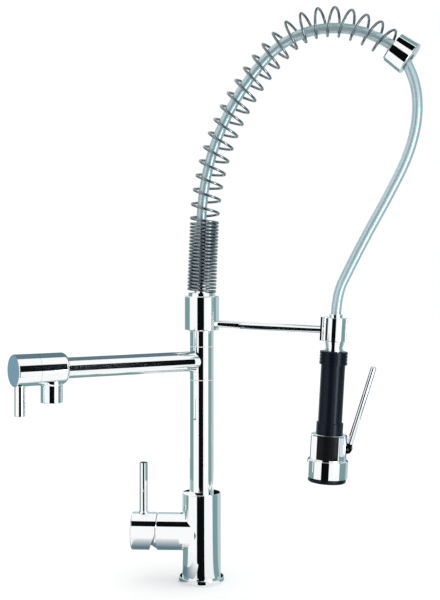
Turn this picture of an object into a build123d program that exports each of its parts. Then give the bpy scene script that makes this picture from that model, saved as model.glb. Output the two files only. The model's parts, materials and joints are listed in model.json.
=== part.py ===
"""Side spray kitchen faucet: single-lever mixer, swivel pot-filler spout and a spring-held hand spray.

Millimetres, +Z up. The origin is the centre of the base flange's underside, on the deck.
The mixer points along -X, the spout and the spring arch each lie in their own upright plane.
"""
from build123d import *
from math import cos, pi, radians, sin, sqrt, tan
import os

# ---------------------------------------------------------------- clearances
run_gap = 0.05
slide_gap = 0.1
pass_gap = 0.3

# ---------------------------------------------------------------- mixer body, seen from the front
body_radius = 23.0
housing_radius = 22.4
mixer_height = 58.4
body_shoulder = 25.2
body_top = mixer_height + housing_radius + body_shoulder
edge_round = 1.0
column_radius = 14.5
column_wall = 1.8
column_socket_depth = 14.0
outlet_way_radius = 4.0
outlet_rise = 9.0
inlet_fall = 4.0

# ---------------------------------------------------------------- deck fixing
flange_step = 4.0
flange_radius = body_radius + flange_step
flange_height = 6.0
gasket_rim = 2.0
gasket_width = 6.0
gasket_outer = flange_radius - gasket_rim
gasket_inner = gasket_outer - gasket_width
gasket_depth = 2.5
deck_room = 32.0
deck_washer_radius = 25.0
rubber_washer_height = 3.0
steel_washer_height = 2.0
shank_nut_height = 10.0
shank_nut_across = 46.0
shank_radius = 16.0
shank_tail = 5.0
shank_length = deck_room + rubber_washer_height + steel_washer_height + shank_nut_height + shank_tail
shank_spigot_step = 1.0
shank_spigot_radius = shank_radius - shank_spigot_step
shank_spigot_length = 14.0
inlet_thread_radius = 4.6
inlet_thread_length = 12.0
inlet_offset = 7.5
inlet_way_radius = 2.5

# ---------------------------------------------------------------- mixer cartridge and handle, along -X
cartridge_base = 18.0
cartridge_length = 26.0
cartridge_shoulder = cartridge_base + cartridge_length
cartridge_neck_length = 5.0
cartridge_end = cartridge_shoulder + cartridge_neck_length
housing_lip = 9.0
housing_end = cartridge_shoulder + housing_lip
tilt_sink = 3.0
tilt_centre = cartridge_end - tilt_sink
housing_wall = 2.4
cartridge_nut_radius = housing_radius - housing_wall
cartridge_nut_length = 6.0
cartridge_ledge = 2.5
cartridge_radius = cartridge_nut_radius - cartridge_ledge
cartridge_step = 3.5
cartridge_neck_radius = cartridge_radius - cartridge_step
port_radius = 2.6
port_seal_width = 1.4
port_seal_depth = 1.2
cartridge_wall = 6.0
dome_inset = 0.4
dome_radius = housing_radius - dome_inset
dome_wall = 1.6
dome_opening = 13.0
dome_skirt_wall = 1.6
dome_skirt_overlap = 1.0
mixing_room_wall = 2.0
mixing_room_radius = cartridge_neck_radius - mixing_room_wall
mixing_room_depth = 7.0
yoke_radius = 9.0
stem_side = 8.0
yoke_play = 0.4
yoke_slot = stem_side + yoke_play
yoke_slot_floor = stem_side / 2 + yoke_play
stem_pin_radius = 1.5
cap_length = 31.0
cap_end = housing_end + cap_length
stem_inset = 7.0
stem_reach = cap_end - stem_inset
cap_gap = 0.4
cap_edge_round = 1.5
cap_relief_start = 1.7
cap_relief_end = 10.0
cap_cut_middle = housing_end + cap_relief_start
cap_cut_low = housing_end + cap_relief_end
cap_side_wall = 5.4
cap_pocket_radius = housing_radius - cap_side_wall
cap_wall = 5.0
cap_boss_radius = 8.0
lever_inset = 14.0
lever_position = cap_end - lever_inset
mixer_lever_radius = 5.0
mixer_lever_rise = 60.1
mixer_lever_top = mixer_height + housing_radius + mixer_lever_rise
mixer_lever_sink = 9.0
mixer_lever_foot_radius = 6.2
mixer_lever_foot_height = 1.5
mixer_lever_foot_drop = 1.2
mixer_lever_lug_wall = 2.0
mixer_lever_lug_floor = 1.0
cap_screw_radius = 2.5
cap_screw_inset = 10.5
cap_screw_position = cap_end - cap_screw_inset
cap_screw_length = 6.0

# ---------------------------------------------------------------- swivel and spout
spout_height = 263.2
spout_angle = 216.0
sleeve_below = 21.6
sleeve_above = 17.2
sleeve_bottom = spout_height - sleeve_below
sleeve_top = spout_height + sleeve_above
ring_height = 0.8
ring_gap = 0.1
sleeve_wall = 2.5
spindle_radius = column_radius - sleeve_wall
spindle_wall = 4.0
spindle_bore = spindle_radius - spindle_wall
spindle_tail = 15.0
seal_height = 1.8
seal_depth = 1.1
seal_offset = 13.0
port_groove_half = 4.7
port_groove_depth = 1.2
port_count = 4
port_hole_radius = 3.0
arm_radius = 12.0
arm_wall = 2.0
arm_spigot_end = 24.0
valve_radius = 18.0
valve_start = 179.3
valve_shoulder_round = 5.0
arm_socket_depth = 14.4
arm_socket_end = valve_start + arm_socket_depth
valve_chamber_radius = 10.0
valve_chamber_length = 12.4
headwork_seat = arm_socket_end + valve_chamber_length
headwork_radius = 11.0
headwork_seat_depth = 8.0
knob_split = headwork_seat + headwork_seat_depth
knob_length = 26.8
knob_end = knob_split + knob_length
knob_wall = 2.5
knob_solid = 15.5
knob_edge_round = 1.5
knob_boss_radius = 7.0
headwork_neck_radius = 9.0
headwork_neck_length = 5.0
headwork_end = knob_split + headwork_neck_length
headwork_stem_radius = 3.0
headwork_stem_start = 2.0
knob_boss_gap = 2.0
spline_radius = 4.0
spline_gap = 1.0
spline_length = 12.0
spline_start = headwork_end + spline_gap
spline_end = spline_start + spline_length
knob_lever_inset = 7.6
knob_lever_position = knob_end - knob_lever_inset
knob_lever_radius = 5.9
knob_lever_drop = 50.2
knob_lever_bottom = spout_height - knob_lever_drop
knob_lever_sink = 8.5
nozzle_inset = 10.7
nozzle_position = headwork_seat - nozzle_inset
nozzle_radius = 12.3
nozzle_drop = 37.3
nozzle_bottom = spout_height - nozzle_drop
nozzle_spigot_radius = 9.0
nozzle_spigot_wall = 1.0
nozzle_bore = nozzle_spigot_radius - nozzle_spigot_wall
nozzle_lip = 1.4
aerator_radius = nozzle_radius - nozzle_lip
aerator_height = 8.8
aerator_recess = 1.0
aerator_hole_radius = 0.9

# ---------------------------------------------------------------- hub, bracket and spring seat
arch_angle = -8.5
column_collar_length = 18.3
hub_base = sleeve_top + column_collar_length + 2 * (ring_height + ring_gap)
hub_radius = 21.0
hub_edge_round = 0.8
hub_lip = 2.5
bush_start = hub_base + hub_lip
bush_wall = 1.4
bush_length = 25.0
bush_end = bush_start + bush_length
bush_seal_inset = 6.0
circlip_ledge = 2.5
hub_cavity_floor = bush_end + circlip_ledge
circlip_height = 1.1
circlip_depth = 0.8
circlip_width = 2.5
circlip_radius = spindle_radius + circlip_width
hub_cavity_gap = 1.5
hub_cavity_radius = circlip_radius + hub_cavity_gap
spindle_tip = 3.5
spindle_top = hub_cavity_floor + spindle_tip
spindle_room = 1.0
seat_plug_height = 6.0
hub_top = spindle_top + spindle_room + seat_plug_height
seat_height = 4.0
seat_top = hub_top + seat_height
seat_radius = 16.5
seat_spigot_radius = 9.0
seat_spigot_height = 13.0
nipple_radius = 5.5
nipple_bore = 2.5
nipple_barb_length = 16.0
rod_radius = 4.5
rod_rise = 7.1
rod_height = hub_base + rod_rise
rod_floor = 1.15
rod_sink = hub_radius - spindle_radius - run_gap - bush_wall - rod_floor
rod_spigot_radius = 2.5
rod_spigot_length = 3.0

# ---------------------------------------------------------------- spring arch: rise, bends, straight end
arch_lean = 2.3
rise_length = 83.5
arch_bends = ((313.0, 44.2), (74.5, 59.6), (139.0, 21.0))
arch_end_length = 36.5
wire_radius = 1.55
tight_coil_radius = 16.15
open_coil_radius = 16.45
end_coil_radius = 15.05
tight_turns = 20.0
tight_pitch = 4.1
open_turns = 22.66
taper_turns = 0.6
first_coil_height = 1.9
tang_start = 7.7
tang_end = 11.2
tang_turn = 0.09
tail_turn = 0.1
tail_rise = 11.2
tail_length = 3.0

# ---------------------------------------------------------------- hose and end collar
hose_radius = 6.0
hose_bore = 4.0
hose_foot = 1.0
hose_rise_short = 3.5
hose_rise = rise_length - hose_rise_short
hose_bends = ((287.0, 43.4), (103.0, 42.2), (120.0, 42.2), (44.0, 22.8))
collar_length = 24.0
collar_radius = 18.4
collar_flare = 1.6
collar_wall = 1.5
collar_end_wall = 3.0
collar_edge_round = 1.5
guide_radius = 10.4
guide_offset = 4.0
guide_length = 13.0

# ---------------------------------------------------------------- hand spray, measured down its own axis
dock_reach = 161.2
dock_rise = 20.5
dock_height = hub_base + dock_rise
spray_lean = 3.2
ferrule_radius = 8.0
ferrule_show = 4.2
ferrule_length = 14.0
ferrule_bottom = -ferrule_length
connector_top = -ferrule_show
connector_length = 27.4
connector_bottom = connector_top - connector_length
connector_radius = 13.0
cone_top_radius = 12.0
cone_bottom_radius = 10.0
cone_length = 8.4
cone_bottom = connector_bottom - cone_length
water_bore = 4.5
neck_flange_radius = 11.0
neck_flange_height = 3.0
core_top = cone_bottom - neck_flange_height
connector_tail_length = 9.0
core_radius = 11.3
core_bore = 6.0
grip_collar_radius = 16.3
grip_collar_length = 15.6
grip_collar_bottom = core_top - grip_collar_length
grip_rib_count = 3
grip_rib_depth = 0.8
grip_rib_height = 1.4
grip_radius = 14.1
grip_length = 67.9
grip_bottom = grip_collar_bottom - grip_length
grip_ring_radius = 15.7
grip_ring_length = 13.5
housing_top = grip_bottom - grip_ring_length
valve_housing_radius = 21.2
valve_housing_wall = 3.0
valve_housing_round = 2.5
valve_housing_length = 29.0
housing_bottom = housing_top - valve_housing_length
housing_floor_wall = 3.0
housing_floor = housing_bottom + housing_floor_wall
core_sink = 5.0
spigot_step = 6.2
spigot_radius = valve_housing_radius - spigot_step
spigot_length = 6.0
waist_height = 1.0
waist_step = 0.8
waist_radius = valve_housing_radius + waist_step
bell_step = 1.8
bell_radius = waist_radius + bell_step
bell_wall = 2.85
bell_top_wall = 3.0
bell_length = 21.7
bell_bottom = housing_bottom - bell_length
bell_top_round = 1.0
nozzle_ring_inset = 1.4
nozzle_ring_width = 5.0
nozzle_ring_height = 5.6
nozzle_ring_radius = bell_radius - nozzle_ring_inset
nozzle_ring_inner = nozzle_ring_radius - nozzle_ring_width
nozzle_ring_bottom = bell_bottom - nozzle_ring_height
nozzle_ring_round = 2.0
plate_flange_height = 4.0
plate_wall = 3.0
plate_recess = 1.5
plate_bottom = nozzle_ring_bottom + plate_recess
plate_rim = 2.8
plate_hole_radius = 0.6
plate_ring_count = 4
plate_ring_holes = 6

# ---------------------------------------------------------------- free hose, measured from the dock's level
first_run = 18.4
hose_points = (
    (255.5, 251.0),
    (253.8, 216.5),
    (243.0, 179.5),
    (222.3, 138.5),
    (196.2, 91.4),
    (176.0, 52.0),
)
last_run = 24.04
run_share = 0.45

# ---------------------------------------------------------------- spray lever and plunger
pivot_stand = 1.6
pivot_reach = valve_housing_radius + pivot_stand
pivot_drop = 16.0
pivot_height = housing_top - pivot_drop
lever_angle = 14.0
lever_length = 101.0
lever_rod_radius = 3.5
lever_eye_radius = 4.5
lever_width = 6.0
lever_pin_radius = 1.5
lug_thickness = 3.0
lug_radius = 4.6
plunger_inset = 4.0
plunger_reach = spigot_radius - plunger_inset
tongue_past = 3.0
tongue_reach = plunger_reach - tongue_past
tongue_half = 2.0
groove_width = 8.4
groove_depth = 2.2
groove_floor = valve_housing_radius - groove_depth
plunger_head_radius = 3.5
plunger_head_height = 2.0
plunger_stem_radius = 2.5
plunger_stem_show = 3.0
plunger_tail = housing_bottom - plunger_stem_show
plunger_spring_wall = 0.8

# ---------------------------------------------------------------- cradle that holds the hand spray
rod_drop = 14.7
rod_level = connector_top - rod_drop
cradle_wall = 2.3
cradle_open_from = -137.0
cradle_open_to = 13.0
cradle_pad_depth = 1.4

os.makedirs("parts", exist_ok=True)


def save(part, name):
    """Label a finished piece and write it to its own file."""
    part.label = name
    export_step(part, f"parts/{name}.step")


def band(inner, outer, low, high, mode=Mode.ADD):
    """Add a rectangle to the open sketch, from one radius to another and from one height to another."""
    with Locations(((inner + outer) / 2, (low + high) / 2)):
        Rectangle(outer - inner, high - low, mode=mode)


def upright_plane(way, height=0.0):
    """Upright section plane through the column's axis: x runs along the way given, y runs up."""
    return Plane(origin=(0, 0, height), x_dir=way, z_dir=way.cross(Vector(0, 0, 1)))


def lying_plane(way, height):
    """Section plane of a lying axis: x runs up, y runs out along the way given."""
    return Plane(origin=(0, 0, height), x_dir=(0, 0, 1), z_dir=Vector(0, 0, 1).cross(way))


# The planes and axes that the pieces are drawn on.
up = Vector(0, 0, 1)
mixer_way = Vector(-1, 0, 0)
spout_way = Vector(cos(radians(spout_angle)), sin(radians(spout_angle)), 0)
arch_way = Vector(cos(radians(arch_angle)), sin(radians(arch_angle)), 0)
column_section = upright_plane(Vector(1, 0, 0))
mixer_section = lying_plane(mixer_way, mixer_height)
mixer_axis = Axis((0, 0, mixer_height), mixer_way)
spout_section = lying_plane(spout_way, spout_height)
spout_axis = Axis((0, 0, spout_height), spout_way)
arch_plane = upright_plane(arch_way)
spray_top = arch_plane.from_local_coords((dock_reach, dock_height, 0))
spray_up = arch_way * sin(radians(spray_lean)) + up * cos(radians(spray_lean))
spray_out = arch_way * cos(radians(spray_lean)) - up * sin(radians(spray_lean))
spray_section = Plane(origin=spray_top, x_dir=spray_out, z_dir=spray_out.cross(spray_up))
spray_axis = Axis(spray_top, spray_up)


def spray_level(height):
    """Plane square to the hand spray's axis at a height along it, x pointing away from the column."""
    return Plane(origin=spray_top + spray_up * height, x_dir=spray_out, z_dir=spray_up)


def across(way, out, height):
    """Plane square to a lying axis at a distance out along it, x pointing up."""
    return Plane(origin=way * out + up * height, x_dir=(0, 0, 1), z_dir=way)


# ================================================================ deck fixing
with BuildPart() as base_flange:
    with BuildSketch(column_section):
        band(shank_spigot_radius + run_gap, flange_radius, 0, flange_height)
        band(gasket_inner, gasket_outer, 0, gasket_depth, mode=Mode.SUBTRACT)
    revolve(axis=Axis.Z)
    fillet(base_flange.edges().filter_by(GeomType.CIRCLE).group_by(Axis.Z)[-1].sort_by(SortBy.RADIUS)[-1],
           edge_round)
save(base_flange.part, "base_flange")

with BuildPart() as deck_gasket:
    with BuildSketch(column_section):
        band(gasket_inner + slide_gap, gasket_outer - slide_gap, 0, gasket_depth)
    revolve(axis=Axis.Z)
save(deck_gasket.part, "deck_gasket")

inlet_spots = [(0, -inlet_offset), (0, inlet_offset)]
with BuildPart() as threaded_shank:
    with BuildSketch(column_section):
        band(0, shank_radius, -shank_length, 0)
        band(0, shank_spigot_radius, 0, flange_height + shank_spigot_length)
    revolve(axis=Axis.Z)
    with BuildSketch(Plane.XY.offset(-shank_length)):
        with Locations(*inlet_spots):
            Circle(inlet_thread_radius)
    extrude(amount=inlet_thread_length, mode=Mode.SUBTRACT)
    with BuildSketch(Plane.XY.offset(-shank_length)):
        with Locations(*inlet_spots):
            Circle(inlet_way_radius)
    extrude(amount=shank_length + flange_height + shank_spigot_length, mode=Mode.SUBTRACT)
    chamfer(threaded_shank.edges().filter_by(GeomType.CIRCLE).group_by(Axis.Z)[0].sort_by(SortBy.RADIUS)[-1],
            edge_round)
save(threaded_shank.part, "threaded_shank")

with BuildPart() as rubber_deck_washer:
    with BuildSketch(column_section):
        band(shank_radius + slide_gap, deck_washer_radius, -deck_room - rubber_washer_height, -deck_room)
    revolve(axis=Axis.Z)
save(rubber_deck_washer.part, "rubber_deck_washer")

washer_bottom = -deck_room - rubber_washer_height - steel_washer_height
with BuildPart() as steel_deck_washer:
    with BuildSketch(column_section):
        band(shank_radius + slide_gap, deck_washer_radius, washer_bottom, washer_bottom + steel_washer_height)
    revolve(axis=Axis.Z)
save(steel_deck_washer.part, "steel_deck_washer")

with BuildPart() as shank_nut:
    with BuildSketch(Plane.XY.offset(washer_bottom - shank_nut_height)):
        RegularPolygon(shank_nut_across / 2, 6, major_radius=False)
        Circle(shank_radius + run_gap, mode=Mode.SUBTRACT)
    extrude(amount=shank_nut_height)
save(shank_nut.part, "shank_nut")

# ================================================================ mixer body
column_bore = column_radius - column_wall
inlet_top = mixer_height - inlet_fall
with BuildPart() as mixer_body:
    with BuildSketch(Plane.XY.offset(flange_height)):
        Circle(body_radius)
    extrude(amount=body_top - flange_height)
    fillet(mixer_body.edges().filter_by(GeomType.CIRCLE).group_by(Axis.Z)[-1], edge_round)
    with BuildSketch(mixer_section):
        band(0, housing_radius, 0, housing_end)
    revolve(axis=mixer_axis)
    fillet(mixer_body.edges().filter_by(GeomType.CIRCLE).sort_by(Axis.X)[0], edge_round)
    with BuildSketch(mixer_section):
        band(0, cartridge_radius + run_gap, cartridge_base, housing_end)
        band(0, cartridge_nut_radius, cartridge_shoulder, housing_end)
    revolve(axis=mixer_axis, mode=Mode.SUBTRACT)
    with BuildSketch(column_section):
        band(0, shank_spigot_radius + run_gap, flange_height, flange_height + shank_spigot_length)
        band(0, column_radius + run_gap, body_top - column_socket_depth, body_top)
        band(0, outlet_way_radius, mixer_height + outlet_rise, body_top)
    revolve(axis=Axis.Z, mode=Mode.SUBTRACT)
    with BuildSketch(Plane.XY.offset(flange_height)):
        with Locations(*inlet_spots):
            Circle(inlet_way_radius)
    extrude(amount=inlet_top - flange_height, mode=Mode.SUBTRACT)
    with BuildSketch(across(mixer_way, 0, inlet_top)):
        with Locations(*inlet_spots):
            Circle(inlet_way_radius)
    extrude(amount=cartridge_base, mode=Mode.SUBTRACT)
    with BuildSketch(across(mixer_way, 0, mixer_height + outlet_rise)):
        Circle(outlet_way_radius)
    extrude(amount=cartridge_base, mode=Mode.SUBTRACT)
save(mixer_body.part, "mixer_body")

# ================================================================ cartridge
cartridge_ports = [(-inlet_fall, -inlet_offset), (-inlet_fall, inlet_offset)]
cartridge_ports.append((outlet_rise, 0))
seal_radius = port_radius + port_seal_width
mixing_room_start = cartridge_base + cartridge_wall
with BuildPart() as mixer_cartridge:
    with BuildSketch(mixer_section):
        band(0, cartridge_radius, cartridge_base, cartridge_shoulder)
        band(0, cartridge_neck_radius, cartridge_base, cartridge_end)
        band(0, mixing_room_radius, mixing_room_start, mixing_room_start + mixing_room_depth,
             mode=Mode.SUBTRACT)
        band(0, yoke_radius + run_gap, tilt_centre - yoke_radius, cartridge_end, mode=Mode.SUBTRACT)
    revolve(axis=mixer_axis)
    with BuildSketch(across(mixer_way, cartridge_base, mixer_height)):
        with Locations(*cartridge_ports):
            Circle(seal_radius)
    extrude(amount=port_seal_depth, mode=Mode.SUBTRACT)
    with BuildSketch(across(mixer_way, cartridge_base, mixer_height)):
        with Locations(*cartridge_ports):
            Circle(port_radius)
    extrude(amount=cartridge_wall + 1, mode=Mode.SUBTRACT)
save(mixer_cartridge.part, "mixer_cartridge")

with BuildPart() as cartridge_seals:
    with BuildSketch(across(mixer_way, cartridge_base, mixer_height)):
        with Locations(*cartridge_ports):
            Circle(seal_radius - run_gap)
            Circle(port_radius, mode=Mode.SUBTRACT)
    extrude(amount=port_seal_depth)
save(cartridge_seals.part, "cartridge_seals")

nut_end = cartridge_shoulder + cartridge_nut_length
with BuildPart() as cartridge_nut:
    with BuildSketch(mixer_section):
        band(cartridge_neck_radius + run_gap, cartridge_nut_radius - run_gap, cartridge_shoulder, nut_end)
    revolve(axis=mixer_axis)
save(cartridge_nut.part, "cartridge_nut")

dome_skirt_outer = cartridge_nut_radius - run_gap
with BuildPart() as dome_trim:
    with BuildSketch(mixer_section):
        with Locations((0, tilt_centre)):
            Circle(dome_radius)
            Circle(dome_radius - dome_wall, mode=Mode.SUBTRACT)
        band(dome_opening, dome_radius, housing_end, tilt_centre + dome_radius, mode=Mode.INTERSECT)
        band(dome_skirt_outer - dome_skirt_wall, dome_skirt_outer, nut_end, housing_end + dome_skirt_overlap)
    revolve(axis=mixer_axis)
save(dome_trim.part, "dome_trim")

# ================================================================ mixer handle
with BuildPart() as stem_yoke:
    with BuildSketch(mixer_section):
        band(0, yoke_radius, tilt_centre - yoke_radius + slide_gap, cartridge_end)
    revolve(axis=mixer_axis)
    with BuildSketch(Plane.XZ):
        with Locations((-tilt_centre, mixer_height)):
            Rectangle(2 * yoke_slot_floor, 3 * yoke_radius)
    extrude(amount=yoke_slot / 2, both=True, mode=Mode.SUBTRACT)
    with BuildSketch(Plane.XZ):
        with Locations((-tilt_centre, mixer_height)):
            Circle(stem_pin_radius + run_gap)
    extrude(amount=yoke_radius, both=True, mode=Mode.SUBTRACT)
save(stem_yoke.part, "stem_yoke")

with BuildPart() as stem_pin:
    with BuildSketch(Plane.XZ):
        with Locations((-tilt_centre, mixer_height)):
            Circle(stem_pin_radius)
    extrude(amount=yoke_radius - pass_gap, both=True)
save(stem_pin.part, "stem_pin")

stem_half = stem_side / 2
with BuildPart() as cartridge_stem:
    with BuildSketch(Plane.XZ):
        with Locations((-(tilt_centre + stem_reach) / 2, mixer_height)):
            Rectangle(stem_reach - tilt_centre, stem_side)
        with Locations((-tilt_centre, mixer_height)):
            Circle(stem_half)
            Circle(stem_pin_radius + run_gap, mode=Mode.SUBTRACT)
    extrude(amount=stem_half, both=True)
save(cartridge_stem.part, "cartridge_stem")

cavity_radius = dome_radius + cap_gap
cap_top = mixer_height + housing_radius
cap_bottom = mixer_height - housing_radius
cap_back = housing_end + cap_gap
cap_floor = cap_end - cap_wall
lever_seat = cap_top - mixer_lever_sink
lug_bottom = lever_seat - mixer_lever_lug_floor
lug_top = mixer_height + cap_pocket_radius + mixer_lever_lug_wall
with BuildPart() as handle_cap:
    with BuildSketch(mixer_section):
        band(0, housing_radius, cap_back, cap_end)
        band(cap_boss_radius, cap_pocket_radius, cap_back, cap_floor, mode=Mode.SUBTRACT)
    revolve(axis=mixer_axis)
    fillet(handle_cap.edges().filter_by(GeomType.CIRCLE).group_by(Axis.X)[0], cap_edge_round)
    with BuildSketch(Plane.XY.offset(lug_bottom)):
        with Locations((-lever_position, 0)):
            Circle(mixer_lever_radius + mixer_lever_lug_wall)
    extrude(amount=lug_top - lug_bottom)
    with BuildSketch(mixer_section):
        with Locations((0, tilt_centre)):
            Circle(cavity_radius)
        band(0, cavity_radius, tilt_centre - cavity_radius, tilt_centre + cavity_radius,
             mode=Mode.INTERSECT)
    revolve(axis=mixer_axis, mode=Mode.SUBTRACT)
    with BuildSketch(Plane.XZ):
        with BuildLine():
            Polyline(
                (-cap_back, cap_top + 1),
                (-cap_cut_middle, mixer_height),
                (-cap_cut_low, cap_bottom - 1),
                (-tilt_centre, cap_bottom - 1),
                (-tilt_centre, cap_top + 1),
                close=True,
            )
        make_face()
    extrude(amount=housing_radius + 1, both=True, mode=Mode.SUBTRACT)
    with BuildSketch(Plane.XY.offset(lever_seat)):
        with Locations((-lever_position, 0)):
            Circle(mixer_lever_radius + run_gap)
    extrude(amount=mixer_lever_sink + 1, mode=Mode.SUBTRACT)
    with BuildSketch(across(mixer_way, tilt_centre, mixer_height)):
        Rectangle(stem_side + 2 * run_gap, stem_side + 2 * run_gap)
    extrude(amount=stem_reach + slide_gap - tilt_centre, mode=Mode.SUBTRACT)
    with BuildSketch(Plane.XY.offset(cap_bottom)):
        with Locations((-cap_screw_position, 0)):
            Circle(cap_screw_radius + run_gap)
    extrude(amount=housing_radius - stem_half, mode=Mode.SUBTRACT)
save(handle_cap.part, "handle_cap")

with BuildPart() as mixer_lever:
    with BuildSketch(Plane.XY.offset(cap_top - mixer_lever_foot_drop)):
        with Locations((-lever_position, 0)):
            Circle(mixer_lever_foot_radius)
    extrude(amount=mixer_lever_foot_drop + mixer_lever_foot_height)
    chamfer(mixer_lever.edges().group_by(Axis.Z)[-1], edge_round / 2)
    with BuildSketch(mixer_section):
        band(0, housing_radius + run_gap, cap_back, cap_end)
    revolve(axis=mixer_axis, mode=Mode.SUBTRACT)
    with BuildSketch(Plane.XY.offset(lever_seat)):
        with Locations((-lever_position, 0)):
            Circle(mixer_lever_radius)
    extrude(amount=mixer_lever_top - lever_seat)
    chamfer(mixer_lever.edges().group_by(Axis.Z)[-1], edge_round / 2)
save(mixer_lever.part, "mixer_lever")

screw_top = mixer_height - stem_half - run_gap
with BuildPart() as cap_screw:
    with BuildSketch(Plane.XY.offset(screw_top - cap_screw_length)):
        with Locations((-cap_screw_position, 0)):
            Circle(cap_screw_radius)
    extrude(amount=cap_screw_length)
    with BuildSketch(Plane.XY.offset(screw_top - cap_screw_length)):
        with Locations((-cap_screw_position, 0)):
            RegularPolygon(cap_screw_radius / 2, 6)
    extrude(amount=cap_screw_radius, mode=Mode.SUBTRACT)
save(cap_screw.part, "cap_screw")

# ================================================================ column and swivel
column_top = sleeve_bottom - ring_height - ring_gap
collar_base = sleeve_top + ring_height + ring_gap
collar_top = hub_base - ring_height - ring_gap
spindle_bore_radius = spindle_radius + run_gap
with BuildPart() as column_tube:
    with BuildSketch(column_section):
        band(column_bore, column_radius, body_top - column_socket_depth, column_top)
    revolve(axis=Axis.Z)
save(column_tube.part, "column_tube")

circlip_low = hub_cavity_floor + pass_gap
seal_heights = [spout_height - seal_offset, spout_height + seal_offset]
seal_heights += [bush_start + bush_seal_inset, bush_end - bush_seal_inset]
with BuildPart() as swivel_spindle:
    with BuildSketch(column_section):
        band(spindle_bore, column_bore - run_gap, column_top - spindle_tail, column_top)
        band(spindle_bore, spindle_radius, column_top, spindle_top)
        band(spindle_radius - port_groove_depth, spindle_radius, spout_height - port_groove_half,
             spout_height + port_groove_half, mode=Mode.SUBTRACT)
        for middle in seal_heights:
            band(spindle_radius - seal_depth, spindle_radius, middle - seal_height / 2 - run_gap,
                 middle + seal_height / 2 + run_gap, mode=Mode.SUBTRACT)
        band(spindle_radius - circlip_depth, spindle_radius, circlip_low - run_gap,
             circlip_low + circlip_height + run_gap, mode=Mode.SUBTRACT)
    revolve(axis=Axis.Z)
    with BuildSketch(Plane.XY.offset(spout_height)):
        with PolarLocations(spindle_radius / 2 + spindle_bore / 2, port_count):
            Rectangle(spindle_radius, port_hole_radius * 2)
    extrude(amount=port_hole_radius, both=True, mode=Mode.SUBTRACT)
save(swivel_spindle.part, "swivel_spindle")

with BuildPart() as spindle_seals:
    with BuildSketch(column_section):
        for middle in seal_heights:
            band(spindle_radius - seal_depth + run_gap, spindle_radius, middle - seal_height / 2,
                 middle + seal_height / 2)
    revolve(axis=Axis.Z)
save(spindle_seals.part, "spindle_seals")

ring_floors = [column_top, sleeve_top + ring_gap, collar_top]
with BuildPart() as slip_rings:
    with BuildSketch(column_section):
        for low in ring_floors:
            band(spindle_bore_radius, column_radius, low, low + ring_height)
    revolve(axis=Axis.Z)
save(slip_rings.part, "slip_rings")

with BuildPart() as column_collar:
    with BuildSketch(column_section):
        band(spindle_bore_radius, column_radius, collar_base, collar_top)
    revolve(axis=Axis.Z)
save(column_collar.part, "column_collar")

with BuildPart() as spindle_circlip:
    with BuildSketch(Plane.XY.offset(circlip_low)):
        Circle(circlip_radius)
        Circle(spindle_radius - circlip_depth + run_gap, mode=Mode.SUBTRACT)
        with Locations((0, circlip_radius)):
            Rectangle(spindle_radius / 2, circlip_radius, mode=Mode.SUBTRACT)
    extrude(amount=circlip_height)
save(spindle_circlip.part, "spindle_circlip")

# ================================================================ spout
arm_bore = arm_radius - arm_wall
with BuildPart() as swivel_sleeve:
    with BuildSketch(spout_section):
        band(0, arm_bore - run_gap, 0, arm_spigot_end)
    revolve(axis=spout_axis)
    with BuildSketch(column_section):
        band(0, column_radius, sleeve_bottom, sleeve_top)
    revolve(axis=Axis.Z)
    with BuildSketch(spout_section):
        band(0, arm_bore - arm_wall, 0, arm_spigot_end)
    revolve(axis=spout_axis, mode=Mode.SUBTRACT)
    with BuildSketch(column_section):
        band(0, spindle_bore_radius, sleeve_bottom, sleeve_top)
    revolve(axis=Axis.Z, mode=Mode.SUBTRACT)
save(swivel_sleeve.part, "swivel_sleeve")

with BuildPart() as spout_arm:
    with BuildSketch(spout_section):
        band(arm_bore, arm_radius, spindle_radius / 2, arm_socket_end - slide_gap)
    revolve(axis=spout_axis)
    with BuildSketch(Plane.XY.offset(sleeve_bottom)):
        Circle(column_radius + run_gap)
    extrude(amount=sleeve_top - sleeve_bottom, mode=Mode.SUBTRACT)
save(spout_arm.part, "spout_arm")

nozzle_spot = (spout_way.X * nozzle_position, spout_way.Y * nozzle_position)
knob_lever_spot = (spout_way.X * knob_lever_position, spout_way.Y * knob_lever_position)
aerator_seat = nozzle_bottom + aerator_recess + aerator_height
nozzle_top = spout_height - arm_radius - pass_gap
with BuildPart() as valve_body:
    with BuildSketch(spout_section):
        band(0, valve_radius, valve_start, knob_split - slide_gap)
    revolve(axis=spout_axis)
    fillet(valve_body.edges().filter_by(GeomType.CIRCLE).sort_by(Axis((0, 0, 0), spout_way))[0],
           valve_shoulder_round)
    with BuildSketch(spout_section):
        band(0, arm_radius + run_gap, valve_start, arm_socket_end)
        band(0, valve_chamber_radius, valve_start, headwork_seat)
        band(0, headwork_radius + run_gap, headwork_seat, knob_split)
    revolve(axis=spout_axis, mode=Mode.SUBTRACT)
    with BuildSketch(Plane.XY.offset(spout_height)):
        with Locations(nozzle_spot):
            Circle(nozzle_spigot_radius + run_gap)
    extrude(amount=-valve_radius, mode=Mode.SUBTRACT)
save(valve_body.part, "valve_body")

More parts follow.
